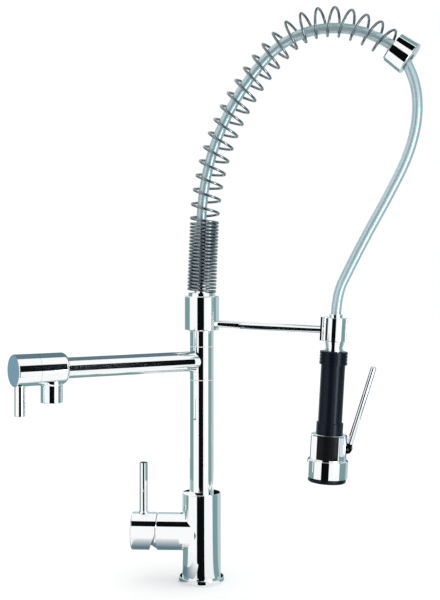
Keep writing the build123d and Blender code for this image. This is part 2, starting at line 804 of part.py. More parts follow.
with BuildPart() as outlet_nozzle:
    with BuildSketch(Plane.XY.offset(nozzle_bottom)):
        with Locations(nozzle_spot):
            Circle(nozzle_radius)
    extrude(amount=spout_height - nozzle_bottom)
    with BuildSketch(spout_section):
        band(0, valve_radius + run_gap, valve_start - valve_radius, knob_end)
    revolve(axis=spout_axis, mode=Mode.SUBTRACT)
    fillet(outlet_nozzle.edges().group_by(Axis.Z)[0], edge_round / 2)
    with BuildSketch(Plane.XY.offset(aerator_seat)):
        with Locations(nozzle_spot):
            Circle(nozzle_spigot_radius)
    extrude(amount=nozzle_top - aerator_seat)
    with BuildSketch(Plane.XY.offset(nozzle_bottom)):
        with Locations(nozzle_spot):
            Circle(nozzle_bore)
    extrude(amount=spout_height - nozzle_bottom, mode=Mode.SUBTRACT)
    with BuildSketch(Plane.XY.offset(nozzle_bottom)):
        with Locations(nozzle_spot):
            Circle(aerator_radius + run_gap)
    extrude(amount=aerator_seat - nozzle_bottom, mode=Mode.SUBTRACT)
save(outlet_nozzle.part, "outlet_nozzle")

with BuildPart() as aerator:
    with BuildSketch(Plane.XY.offset(nozzle_bottom + aerator_recess)):
        with Locations(nozzle_spot):
            Circle(aerator_radius)
    extrude(amount=aerator_height)
    with BuildSketch(Plane.XY.offset(nozzle_bottom + aerator_recess)):
        with Locations(nozzle_spot):
            Circle(aerator_hole_radius)
            for ring in (1, 2):
                with PolarLocations(ring * aerator_radius / 3, 6 * ring):
                    Circle(aerator_hole_radius)
    extrude(amount=aerator_height, mode=Mode.SUBTRACT)
save(aerator.part, "aerator")

with BuildPart() as spout_headwork:
    with BuildSketch(spout_section):
        band(headwork_stem_radius + run_gap, headwork_radius, headwork_seat, knob_split)
        band(headwork_stem_radius + run_gap, headwork_neck_radius, headwork_seat, headwork_end)
    revolve(axis=spout_axis)
save(spout_headwork.part, "spout_headwork")

with BuildPart() as headwork_stem:
    with BuildSketch(spout_section):
        band(0, headwork_stem_radius, headwork_seat + headwork_stem_start, spline_start)
        band(0, spline_radius, spline_start, spline_end)
    revolve(axis=spout_axis)
save(headwork_stem.part, "headwork_stem")

knob_floor = knob_end - knob_solid
with BuildPart() as knob_cap:
    with BuildSketch(spout_section):
        band(0, valve_radius, knob_split + slide_gap, knob_end)
        band(knob_boss_radius, valve_radius - knob_wall, knob_split, knob_floor, mode=Mode.SUBTRACT)
        band(0, knob_boss_radius, knob_split, headwork_end + knob_boss_gap, mode=Mode.SUBTRACT)
        band(0, spline_radius + run_gap, headwork_end, spline_end + slide_gap, mode=Mode.SUBTRACT)
    revolve(axis=spout_axis)
    fillet(knob_cap.edges().filter_by(GeomType.CIRCLE).sort_by(Axis((0, 0, 0), spout_way))[-1],
           knob_edge_round)
    with BuildSketch(Plane.XY.offset(spout_height - valve_radius + knob_lever_sink)):
        with Locations(knob_lever_spot):
            Circle(knob_lever_radius + run_gap)
    extrude(amount=-valve_radius, mode=Mode.SUBTRACT)
save(knob_cap.part, "knob_cap")

with BuildPart() as knob_lever:
    with BuildSketch(Plane.XY.offset(knob_lever_bottom)):
        with Locations(knob_lever_spot):
            Circle(knob_lever_radius)
    extrude(amount=spout_height - valve_radius + knob_lever_sink - knob_lever_bottom)
    chamfer(knob_lever.edges().group_by(Axis.Z)[0], edge_round / 2)
save(knob_lever.part, "knob_lever")

# ================================================================ hub
bush_outer = spindle_bore_radius + bush_wall
rod_foot = arch_plane.from_local_coords((hub_radius, rod_height, 0))
cradle_inner = connector_radius + pass_gap
cradle_outer = cradle_inner + cradle_wall
pad_outer = cradle_outer + cradle_pad_depth
rod_face = spray_top + spray_up * rod_level - spray_out * pad_outer
rod_way = (rod_face - rod_foot).normalized()
rod_foot_plane = Plane(origin=rod_foot - rod_way * rod_sink, z_dir=rod_way)
rod_length = (rod_face - rod_foot).length + rod_sink - slide_gap
with BuildPart() as hub_collar:
    with BuildSketch(column_section):
        band(spindle_bore_radius + slide_gap, hub_radius, hub_base, hub_top)
        band(0, bush_outer + run_gap, bush_start, hub_top, mode=Mode.SUBTRACT)
        band(0, hub_cavity_radius, hub_cavity_floor, hub_top, mode=Mode.SUBTRACT)
    revolve(axis=Axis.Z)
    chamfer(hub_collar.edges().filter_by(GeomType.CIRCLE).group_by(SortBy.RADIUS)[-1], hub_edge_round)
    with BuildSketch(rod_foot_plane):
        Circle(rod_radius + run_gap)
    extrude(amount=hub_radius, mode=Mode.SUBTRACT)
save(hub_collar.part, "hub_collar")

with BuildPart() as hub_bush:
    with BuildSketch(column_section):
        band(spindle_bore_radius, bush_outer, bush_start, bush_end)
    revolve(axis=Axis.Z)
save(hub_bush.part, "hub_bush")

# ================================================================ spring
def arch_at(distance):
    """Reach, height and lean of the arch's centre line at a distance along it."""
    reach, height, lean = 0.0, seat_top, radians(arch_lean)
    legs = [(0, rise_length)]
    legs += [(radius, radius * radians(turn)) for radius, turn in arch_bends]
    legs += [(0, arch_end_length)]
    for radius, length in legs:
        step = min(distance, length)
        if radius:
            turned = lean + step / radius
            reach += radius * (cos(lean) - cos(turned))
            height += radius * (sin(turned) - sin(lean))
            lean = turned
        else:
            reach += step * sin(lean)
            height += step * cos(lean)
        distance -= step
    return reach, height, lean


def arch_spot(distance, radius, angle):
    """Point beside the arch's centre line: at angle 0 on its outer side, then round by the back."""
    reach, height, lean = arch_at(distance)
    outward = up * sin(lean) - arch_way * cos(lean)
    centre = arch_plane.from_local_coords((reach, height, 0))
    return centre + (outward * cos(angle) - arch_plane.z_dir * sin(angle)) * radius


# The open turns share what is left of the arch between the tight foot and the tail.
collar_floor = rise_length + sum(radius * radians(turn) for radius, turn in arch_bends)
collar_floor += arch_end_length - collar_end_wall
coil_end = collar_floor - tail_length - tail_rise
tight_end = first_coil_height + tight_pitch * tight_turns
open_pitch = (coil_end - tight_end - tight_pitch / 2) / (open_turns + 0.5)
open_start = tight_end + (tight_pitch + open_pitch) / 2
coil_turns = tight_turns + 1 + open_turns


def coil_spot(turns):
    """Point on the wire's centre line after a number of turns."""
    past_tight = turns - tight_turns
    if past_tight <= 0:
        distance = first_coil_height + tight_pitch * turns
    elif past_tight <= 1:
        distance = tight_end + tight_pitch * past_tight + (open_pitch - tight_pitch) * past_tight**2 / 2
    else:
        distance = open_start + open_pitch * (past_tight - 1)
    opened = min(max(past_tight, 0), 1)
    closed = min(max(turns - coil_turns + 1, 0) / taper_turns, 1)
    radius = tight_coil_radius + (open_coil_radius - tight_coil_radius) * opened
    radius += (end_coil_radius - open_coil_radius) * closed
    return arch_spot(distance, radius, 2 * pi * (turns - coil_turns))


def coil_heading(turns):
    """Direction of the wire after a number of turns."""
    small = 0.002
    return (coil_spot(turns + small) - coil_spot(turns - small)).normalized()


def biarc(start, start_way, end, end_way):
    """Middle point of the two equal-reach arcs that join two points with given directions."""
    gap = end - start
    along = gap.dot(start_way + end_way)
    spread = 2 * (1 - start_way.dot(end_way))
    reach = (sqrt(along**2 + spread * gap.dot(gap)) - along) / spread
    first = start + start_way * reach
    last = end - end_way * reach
    return (first + last) / 2, (last - first).normalized()


# The wire: a radial tang in the seat, half turns up the arch, a tail along the collar's wall.
tang_angle = -2 * pi * (coil_turns + tang_turn)
tang_out = arch_spot(first_coil_height, tang_end, tang_angle)
tang_in = arch_spot(first_coil_height, tang_start, tang_angle)
tail_start = arch_spot(coil_end + tail_rise, end_coil_radius, 2 * pi * tail_turn)
tail_end = arch_spot(collar_floor, end_coil_radius, 2 * pi * tail_turn)
half_turns = round(2 * coil_turns)
stops = [coil_turns * count / half_turns for count in range(half_turns + 1)]
wire_stops = [(tang_out, (tang_out - tang_in).normalized())]
wire_stops += [(coil_spot(turns), coil_heading(turns)) for turns in stops]
wire_stops += [(tail_start, (tail_end - tail_start).normalized())]
with BuildPart() as arch_spring:
    with BuildLine() as wire_line:
        Line(tang_in, tang_out)
        for (start, start_way), (end, end_way) in zip(wire_stops, wire_stops[1:]):
            middle, middle_way = biarc(start, start_way, end, end_way)
            TangentArc(start, middle, tangent=start_way)
            TangentArc(middle, end, tangent=middle_way)
        Line(tail_start, tail_end)
    with BuildSketch(Plane(origin=tang_in, z_dir=wire_stops[0][1])):
        Circle(wire_radius)
    sweep()
save(arch_spring.part, "arch_spring")
wire = wire_line.wires()[0]
print("spring: volume", round(arch_spring.part.volume),
      "section x length", round(pi * wire_radius**2 * wire.length))

# Least gap between one turn and the next, on points 1.5 mm apart along the wire.
spot_step = 1.5
spots = [wire.position_at(spot_step * count, PositionMode.LENGTH)
         for count in range(int(wire.length / spot_step))]
turn_near = int(0.4 * 2 * pi * end_coil_radius / spot_step)
turn_far = int(1.4 * 2 * pi * open_coil_radius / spot_step)
closest = min((spots[one] - spots[other]).length
              for one in range(len(spots) - turn_near)
              for other in range(one + turn_near, min(one + turn_far, len(spots))))
print("spring: least gap between turns", round(closest - 2 * wire_radius, 2))

# ================================================================ spring seat and nipple
seat_spigot_top = seat_top + seat_spigot_height
hose_foot_height = seat_top + hose_foot
with BuildPart() as spring_seat:
    with BuildSketch(column_section):
        band(0, hub_cavity_radius - run_gap, spindle_top + spindle_room, hub_top)
        band(0, seat_radius, hub_top, seat_top)
        band(0, seat_spigot_radius, seat_top, seat_spigot_top)
        band(0, nipple_radius + run_gap, spindle_top, hose_foot_height, mode=Mode.SUBTRACT)
        band(0, hose_radius + pass_gap, hose_foot_height, seat_spigot_top, mode=Mode.SUBTRACT)
    revolve(axis=Axis.Z)
    with BuildSketch(Plane(origin=tang_in, z_dir=wire_stops[0][1])):
        Circle(wire_radius + run_gap)
    extrude(amount=seat_spigot_radius, mode=Mode.SUBTRACT)
save(spring_seat.part, "spring_seat")

nipple_foot = spindle_top + spindle_room
with BuildPart() as hose_nipple:
    with BuildSketch(column_section):
        band(nipple_bore, nipple_radius, nipple_foot, hose_foot_height - slide_gap)
        band(nipple_bore, hose_bore - slide_gap, nipple_foot, hose_foot_height + nipple_barb_length)
    revolve(axis=Axis.Z)
save(hose_nipple.part, "hose_nipple")

# ================================================================ hose inside the spring
with BuildPart() as spring_hose:
    with BuildLine(arch_plane) as inner_route:
        piece = Line((0, hose_foot_height), (0, hose_foot_height + hose_rise))
        for radius, turn in hose_bends:
            piece = JernArc(piece @ 1, piece % 1, radius, -turn)
    with BuildSketch(Plane(origin=inner_route.line @ 0, z_dir=inner_route.line % 0)):
        Circle(hose_radius)
        Circle(hose_bore, mode=Mode.SUBTRACT)
    sweep()
save(spring_hose.part, "spring_hose")

# ================================================================ hose from the collar to the hand spray
hose_start = piece @ 1
hose_start_way = piece % 1
hose_end = spray_top
free_points = [hose_start, hose_start + hose_start_way * first_run]
free_points += [arch_plane.from_local_coords((reach, dock_height + rise, 0)) for reach, rise in hose_points]
free_points += [hose_end + spray_up * last_run, hose_end]
free_radii = []
for before, corner, after in zip(free_points, free_points[1:], free_points[2:]):
    turn = radians((corner - before).get_angle(after - corner))
    shorter = min((corner - before).length, (after - corner).length)
    free_radii.append(run_share * shorter / tan(turn / 2))
print("free hose: radii", [round(radius) for radius in free_radii])
with BuildPart() as free_hose:
    with BuildLine() as free_route:
        FilletPolyline(*free_points, radius=free_radii)
    with BuildSketch(Plane(origin=hose_start, z_dir=hose_start_way)):
        Circle(hose_radius)
        Circle(hose_bore, mode=Mode.SUBTRACT)
    sweep()
save(free_hose.part, "free_hose")
print("free hose: volume", round(free_hose.part.volume), "section x length",
      round(pi * (hose_radius**2 - hose_bore**2) * free_route.wires()[0].length))

# ================================================================ end collar and guide bush
end_reach, end_height, end_lean = arch_at(collar_floor + collar_end_wall)
arch_forward = arch_way * sin(end_lean) + up * cos(end_lean)
arch_outward = up * sin(end_lean) - arch_way * cos(end_lean)
arch_tip = arch_plane.from_local_coords((end_reach, end_height, 0))
collar_section = Plane(origin=arch_tip, x_dir=arch_outward, z_dir=arch_outward.cross(arch_forward))
collar_face = Plane(origin=arch_tip, x_dir=arch_outward, z_dir=arch_forward)
with BuildPart() as end_collar:
    with BuildSketch(collar_section):
        with BuildLine():
            Polyline(
                (0, -collar_end_wall),
                (collar_radius - collar_wall, -collar_end_wall),
                (collar_radius - collar_wall, -collar_length),
                (collar_radius, -collar_length),
                (collar_radius + collar_flare, 0),
                (0, 0),
                close=True,
            )
        make_face()
    revolve(axis=Axis(arch_tip, arch_forward))
    fillet(end_collar.edges().filter_by(GeomType.CIRCLE).sort_by(Axis(arch_tip, arch_forward))[-1],
           collar_edge_round)
    with BuildSketch(collar_face):
        with Locations((-guide_offset, 0)):
            Circle(guide_radius + run_gap)
    extrude(amount=-2 * collar_end_wall, mode=Mode.SUBTRACT)
save(end_collar.part, "end_collar")

with BuildPart() as collar_guide:
    with BuildSketch(collar_face):
        with Locations((-guide_offset, 0)):
            Circle(guide_radius)
    extrude(amount=-guide_length)
    with BuildLine():
        add(piece)
        Line(hose_start, free_points[1])
    with BuildSketch(Plane(origin=piece @ 0, z_dir=piece % 0)):
        Circle(hose_radius + pass_gap)
    sweep(mode=Mode.SUBTRACT)
save(collar_guide.part, "collar_guide")

# ================================================================ bracket rod and cradle
with BuildPart() as cradle_clip:
    with BuildSketch(spray_level(connector_bottom)):
        Circle(cradle_outer)
        with Locations((-(cradle_inner + pad_outer) / 2, 0)):
            Rectangle(pad_outer - cradle_inner, 2 * rod_radius + 2 * slide_gap)
        Circle(cradle_inner, mode=Mode.SUBTRACT)
        with BuildLine():
            mouth = [(0, 0)]
            for angle in (cradle_open_from, (cradle_open_from + cradle_open_to) / 2, cradle_open_to):
                mouth.append((2 * pad_outer * cos(radians(angle)), 2 * pad_outer * sin(radians(angle))))
            Polyline(*mouth, close=True)
        make_face(mode=Mode.SUBTRACT)
    extrude(amount=connector_top - connector_bottom)
    with BuildSketch(Plane(origin=rod_face, z_dir=rod_way)):
        Circle(rod_spigot_radius + run_gap)
    extrude(amount=rod_spigot_length + slide_gap, both=True, mode=Mode.SUBTRACT)
save(cradle_clip.part, "cradle_clip")

with BuildPart() as bracket_rod:
    with BuildSketch(rod_foot_plane):
        Circle(rod_radius)
    extrude(amount=rod_length)
    with BuildSketch(rod_foot_plane):
        Circle(rod_spigot_radius)
    extrude(amount=rod_length + rod_spigot_length)
save(bracket_rod.part, "bracket_rod")

# ================================================================ hand spray: connector and grip
connector_tail = core_bore - run_gap
with BuildPart() as hose_ferrule:
    with BuildSketch(spray_section):
        band(hose_bore, ferrule_radius, ferrule_bottom, 0)
    revolve(axis=spray_axis)
    chamfer(hose_ferrule.edges().filter_by(GeomType.CIRCLE).group_by(SortBy.RADIUS)[-1]
            .sort_by(spray_axis)[-1], edge_round / 2)
save(hose_ferrule.part, "hose_ferrule")

with BuildPart() as handset_connector:
    with BuildSketch(spray_section):
        with BuildLine():
            Polyline(
                (water_bore, connector_top),
                (connector_radius, connector_top),
                (connector_radius, connector_bottom),
                (cone_top_radius, connector_bottom),
                (cone_bottom_radius, cone_bottom),
                (connector_tail, cone_bottom),
                (connector_tail, core_top - connector_tail_length),
                (water_bore, core_top - connector_tail_length),
                close=True,
            )
        make_face()
        band(0, ferrule_radius + run_gap, ferrule_bottom, 0, mode=Mode.SUBTRACT)
    revolve(axis=spray_axis)
    chamfer(handset_connector.edges().filter_by(GeomType.CIRCLE).group_by(SortBy.RADIUS)[-1], edge_round / 2)
save(handset_connector.part, "handset_connector")

with BuildPart() as connector_flange:
    with BuildSketch(spray_section):
        band(connector_tail + run_gap, neck_flange_radius, core_top, cone_bottom)
    revolve(axis=spray_axis)
save(connector_flange.part, "connector_flange")

core_bottom = housing_top - core_sink
with BuildPart() as grip_core:
    with BuildSketch(spray_section):
        band(core_bore, core_radius, core_bottom, core_top)
    revolve(axis=spray_axis)
save(grip_core.part, "grip_core")

rubber_bore = core_radius + run_gap
grip_collar_top = core_top - pass_gap
rib_pitch = (grip_collar_top - grip_collar_bottom) / (grip_rib_count + 1)
with BuildPart() as grip_collar:
    with BuildSketch(spray_section):
        band(rubber_bore, grip_collar_radius, grip_collar_bottom, grip_collar_top)
        for rib in range(1, grip_rib_count + 1):
            middle = grip_collar_top - rib * rib_pitch
            band(grip_collar_radius - grip_rib_depth, grip_collar_radius, middle - grip_rib_height / 2,
                 middle + grip_rib_height / 2, mode=Mode.SUBTRACT)
    revolve(axis=spray_axis)
    chamfer(grip_collar.edges().filter_by(GeomType.CIRCLE).group_by(SortBy.RADIUS)[-1]
            .sort_by(spray_axis)[-1], edge_round / 2)
save(grip_collar.part, "grip_collar")

with BuildPart() as grip_sleeve:
    with BuildSketch(spray_section):
        band(rubber_bore, grip_radius, grip_bottom, grip_collar_bottom)
    revolve(axis=spray_axis)
save(grip_sleeve.part, "grip_sleeve")

with BuildPart() as grip_ring:
    with BuildSketch(spray_section):
        band(rubber_bore, grip_ring_radius, housing_top, grip_bottom)
    revolve(axis=spray_axis)
    chamfer(grip_ring.edges().filter_by(GeomType.CIRCLE).group_by(SortBy.RADIUS)[-1]
            .sort_by(spray_axis)[-1], edge_round / 2)
save(grip_ring.part, "grip_ring")

# ================================================================ hand spray: valve housing
pivot = spray_section.from_local_coords((pivot_reach, pivot_height, 0))
lug_inner = lever_width / 2 + pass_gap
slot_bottom = pivot_height - lever_eye_radius - 2 * pass_gap
slot_top = pivot_height + lever_eye_radius + 2 * pass_gap
valve_wall_inner = valve_housing_radius - valve_housing_wall
spigot_bottom = housing_bottom - spigot_length
with BuildPart() as valve_housing:
    with BuildSketch(spray_section):
        band(0, valve_housing_radius, housing_bottom, housing_top)
        band(0, spigot_radius, spigot_bottom, housing_bottom)
        band(0, valve_wall_inner, housing_floor, core_bottom, mode=Mode.SUBTRACT)
        band(0, rubber_bore, core_bottom, housing_top, mode=Mode.SUBTRACT)
        band(0, water_bore, spigot_bottom, housing_floor, mode=Mode.SUBTRACT)
    revolve(axis=spray_axis)
    fillet(valve_housing.edges().filter_by(GeomType.CIRCLE).group_by(SortBy.RADIUS)[-1]
           .sort_by(spray_axis)[-1], valve_housing_round)
    with BuildSketch(spray_section):
        with Locations((pivot_reach, pivot_height)):
            Circle(lug_radius)
        band(valve_wall_inner + edge_round, pivot_reach, pivot_height - lug_radius, pivot_height + lug_radius)
    extrude(amount=lug_inner + lug_thickness, both=True)
    with BuildSketch(spray_section):
        band(groove_floor, pivot_reach + 2 * lug_radius, slot_bottom, housing_top)
        band(valve_wall_inner - edge_round, pivot_reach + 2 * lug_radius, slot_bottom, slot_top)
    extrude(amount=lug_inner, both=True, mode=Mode.SUBTRACT)
    with BuildSketch(spray_section):
        band(groove_floor, valve_housing_radius, slot_top, housing_top)
    extrude(amount=groove_width / 2, both=True, mode=Mode.SUBTRACT)
    with BuildSketch(spray_section):
        with Locations((pivot_reach, pivot_height)):
            Circle(lever_pin_radius + run_gap)
    extrude(amount=2 * lug_inner + lug_thickness, both=True, mode=Mode.SUBTRACT)
    with BuildSketch(spray_level(housing_floor)):
        with Locations((plunger_reach, 0)):
            Circle(plunger_stem_radius + run_gap)
    extrude(amount=spigot_bottom - housing_floor, mode=Mode.SUBTRACT)
save(valve_housing.part, "valve_housing")

with BuildPart() as lever_pin:
    with BuildSketch(spray_section):
        with Locations((pivot_reach, pivot_height)):
            Circle(lever_pin_radius)
    extrude(amount=lug_inner + lug_thickness, both=True)
save(lever_pin.part, "lever_pin")

plunger_top = pivot_height - tongue_half - slide_gap
plunger_seat = plunger_top - plunger_head_height
with BuildPart() as valve_plunger:
    with BuildSketch(spray_level(plunger_seat)):
        with Locations((plunger_reach, 0)):
            Circle(plunger_head_radius)
    extrude(amount=plunger_head_height)
    with BuildSketch(spray_level(plunger_tail)):
        with Locations((plunger_reach, 0)):
            Circle(plunger_stem_radius)
    extrude(amount=plunger_seat - plunger_tail)
save(valve_plunger.part, "valve_plunger")

plunger_spring_bore = plunger_stem_radius + pass_gap
with BuildPart() as plunger_spring:
    with BuildSketch(spray_level(housing_floor)):
        with Locations((plunger_reach, 0)):
            Circle(plunger_spring_bore + plunger_spring_wall)
            Circle(plunger_spring_bore, mode=Mode.SUBTRACT)
    extrude(amount=plunger_seat - slide_gap - housing_floor)
save(plunger_spring.part, "plunger_spring")

# ================================================================ spray lever
lever_lean = radians(lever_angle)
lever_way = spray_out * sin(lever_lean) + spray_up * cos(lever_lean)
lever_side = spray_section.z_dir
lever_neck = lug_radius + 2 * edge_round
with BuildPart() as spray_lever:
    with BuildSketch(Plane(origin=pivot, x_dir=lever_way, z_dir=lever_side)):
        Circle(lever_eye_radius)
        with Locations((lever_neck / 2, 0)):
            Rectangle(lever_neck, 2 * lever_rod_radius)
    extrude(amount=lever_width / 2, both=True)
    with BuildSketch(spray_section):
        band(tongue_reach, pivot_reach, pivot_height - tongue_half, pivot_height + tongue_half)
    extrude(amount=lever_width / 2, both=True)
    with BuildSketch(Plane(origin=pivot + lever_way * lever_neck, z_dir=lever_way)):
        Circle(lever_rod_radius)
    extrude(amount=lever_length - lever_neck)
    chamfer(spray_lever.edges().filter_by(GeomType.CIRCLE).sort_by(Axis(pivot, lever_way))[-1], edge_round)
    with BuildSketch(spray_section):
        with Locations((pivot_reach, pivot_height)):
            Circle(lever_pin_radius + run_gap)
    extrude(amount=lever_width, both=True, mode=Mode.SUBTRACT)
save(spray_lever.part, "spray_lever")

# ================================================================ spray head
bell_top = housing_bottom - waist_height
plate_top = bell_bottom + plate_flange_height
with BuildPart() as spray_bell:
    with BuildSketch(spray_section):
        band(0, bell_radius, bell_bottom, bell_top)
        band(0, waist_radius, bell_top, housing_bottom)
        band(0, spigot_radius + run_gap, bell_bottom, housing_bottom, mode=Mode.SUBTRACT)
        band(0, bell_radius - bell_wall, bell_bottom, bell_top - bell_top_wall, mode=Mode.SUBTRACT)
    revolve(axis=spray_axis)
    fillet(spray_bell.edges().filter_by(GeomType.CIRCLE).group_by(SortBy.RADIUS)[-1].sort_by(spray_axis)[-1],
           bell_top_round)
save(spray_bell.part, "spray_bell")

plate_face_radius = nozzle_ring_inner - slide_gap
plate_ring_pitch = (plate_face_radius - plate_rim) / plate_ring_count
plate_room_radius = plate_face_radius - plate_wall / 2
with BuildPart() as spray_plate:
    with BuildSketch(spray_section):
        band(0, bell_radius - bell_wall - run_gap, bell_bottom, plate_top)
        band(0, plate_face_radius, plate_bottom, plate_top)
        band(0, plate_room_radius, plate_bottom + plate_wall, plate_top, mode=Mode.SUBTRACT)
    revolve(axis=spray_axis)
    with BuildSketch(spray_level(plate_bottom)):
        Circle(plate_hole_radius)
        for ring in range(1, plate_ring_count + 1):
            with PolarLocations(ring * plate_ring_pitch, ring * plate_ring_holes):
                Circle(plate_hole_radius)
    extrude(amount=plate_wall, mode=Mode.SUBTRACT)
save(spray_plate.part, "spray_plate")

with BuildPart() as nozzle_ring:
    with BuildSketch(spray_section):
        band(nozzle_ring_inner, nozzle_ring_radius, nozzle_ring_bottom, bell_bottom)
    revolve(axis=spray_axis)
    fillet(nozzle_ring.edges().filter_by(GeomType.CIRCLE).group_by(SortBy.RADIUS)[-1].sort_by(spray_axis)[0],
           nozzle_ring_round)
save(nozzle_ring.part, "nozzle_ring")
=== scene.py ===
"""Studio scene of a side spray kitchen faucet: finishes, springs, hoses, a painted reflection on the valve
housing and the set.
"""

import json
import logging
import math
from dataclasses import dataclass, field, replace
from enum import Enum
from typing import Sequence

import bmesh
import bpy
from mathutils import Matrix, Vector
from mathutils.geometry import interpolate_bezier


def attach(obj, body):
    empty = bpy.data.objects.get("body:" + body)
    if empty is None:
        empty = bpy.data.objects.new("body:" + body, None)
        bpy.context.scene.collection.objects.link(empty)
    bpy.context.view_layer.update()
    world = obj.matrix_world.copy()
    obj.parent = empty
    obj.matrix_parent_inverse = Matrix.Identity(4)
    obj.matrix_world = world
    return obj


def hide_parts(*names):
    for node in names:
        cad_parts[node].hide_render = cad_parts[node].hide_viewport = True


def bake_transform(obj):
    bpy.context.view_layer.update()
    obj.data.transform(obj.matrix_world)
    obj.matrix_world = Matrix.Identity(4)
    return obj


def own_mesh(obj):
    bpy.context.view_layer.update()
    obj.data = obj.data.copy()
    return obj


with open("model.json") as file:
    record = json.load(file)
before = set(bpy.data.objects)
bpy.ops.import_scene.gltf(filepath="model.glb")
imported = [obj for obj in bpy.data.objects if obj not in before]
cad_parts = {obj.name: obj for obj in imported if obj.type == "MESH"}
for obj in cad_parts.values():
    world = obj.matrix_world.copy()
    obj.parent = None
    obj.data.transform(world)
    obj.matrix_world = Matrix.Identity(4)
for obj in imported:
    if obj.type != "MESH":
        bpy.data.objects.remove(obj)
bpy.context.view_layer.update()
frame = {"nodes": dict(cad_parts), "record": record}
log = logging.getLogger("faucet")

Point = tuple[float, float, float]
MM = 0.001
ARCH_ANGLE = math.radians(-8.5)
SPOUT_ANGLE = math.radians(216.0)
SPRAY_LEAN = math.radians(3.2)
SPRAY_TOP = (161.2, 321.0)
SPOUT_HEIGHT = 263.2
SEAT_TOP = 345.0

COAT_ROUGHNESS = 0.05
MOTTLE_DETAIL = 3.0
RELIEF_STRENGTH = 0.6
# Share of the thread's pitch.
THREAD_DEPTH = 0.6
# Phase of the wave texture, in radians, for a scale of one and a length of one.
WAVE_RATE = 20
HOSE_SIDES = 32
ROUTE_STEPS = 24
ROUTE_ORDER = 3
SMOOTH_ANGLE = 40.0
WIRE_SMOOTH_ANGLE = 60.0


def arch_point(reach: float, height: float, aside: float = 0.0) -> Vector:
    """Turn a place in the arch's upright plane into the row frame.

    Args:
        reach: distance from the column's axis, in millimetres.
        height: height above the deck, in millimetres.
        aside: distance towards the viewer's side of the plane, in millimetres.

    Returns:
        The point in metres.
    """
    x = reach * math.cos(ARCH_ANGLE) + aside * math.sin(ARCH_ANGLE)
    y = reach * math.sin(ARCH_ANGLE) - aside * math.cos(ARCH_ANGLE)
    return Vector((x, y, height)) * MM


def arch_aside() -> Vector:
    """Give one millimetre towards the viewer's side of the arch's plane."""
    return arch_point(0, 0, 1) - arch_point(0, 0, 0)


def spray_point(station: float, turn: float, radius: float) -> Vector:
    """Turn a place round the hand spray's axis into the row frame.

    Args:
        station: distance down the axis from the top of the hand spray, in millimetres.
        turn: angle from the lever's side towards the viewer, in radians.
        radius: distance from the axis, in millimetres.

    Returns:
        The point in metres.
    """
    across = radius * math.cos(turn)
    reach = SPRAY_TOP[0] - station * math.sin(SPRAY_LEAN) + across * math.cos(SPRAY_LEAN)
    height = SPRAY_TOP[1] - station * math.cos(SPRAY_LEAN) - across * math.sin(SPRAY_LEAN)
    return arch_point(reach, height, radius * math.sin(turn))


def spout_point(along: float, aside: float, height: float) -> Point:
    """Turn a place beside the spout into the row frame.

    Args:
        along: distance from the column's axis along the spout, in millimetres.
        aside: distance to the right of the spout, as the viewer sees it, in millimetres.
        height: height above the deck, in millimetres.

    Returns:
        The point in metres.
    """
    x = along * math.cos(SPOUT_ANGLE) - aside * math.sin(SPOUT_ANGLE)
    y = along * math.sin(SPOUT_ANGLE) + aside * math.cos(SPOUT_ANGLE)
    return (x * MM, y * MM, height * MM)


def round_point(azimuth: float, distance: float, height: float) -> Point:
    """Give a point round the column's axis.

    Args:
        azimuth: direction from the axis, in degrees from +X.
        distance: distance from the axis, in metres.
        height: height above the deck, in metres.

    Returns:
        The point in metres.
    """
    way = math.radians(azimuth)
    return (distance * math.cos(way), distance * math.sin(way), height)


class Slot(Enum):
    """Material slots of the record."""

    CHROME = "chrome"
    SLIP_RING = "slip_ring"
    HOSE = "hose"
    BLACK_PLASTIC = "black_plastic"
    GRIP_RUBBER = "grip_rubber"
    BRASS = "brass"
    STEEL = "steel"
    WHITE_PLASTIC = "white_plastic"


class Body(Enum):
    """Bodies that new pieces ride on."""

    UPPER = "upper"
    HANDSET = "handset"


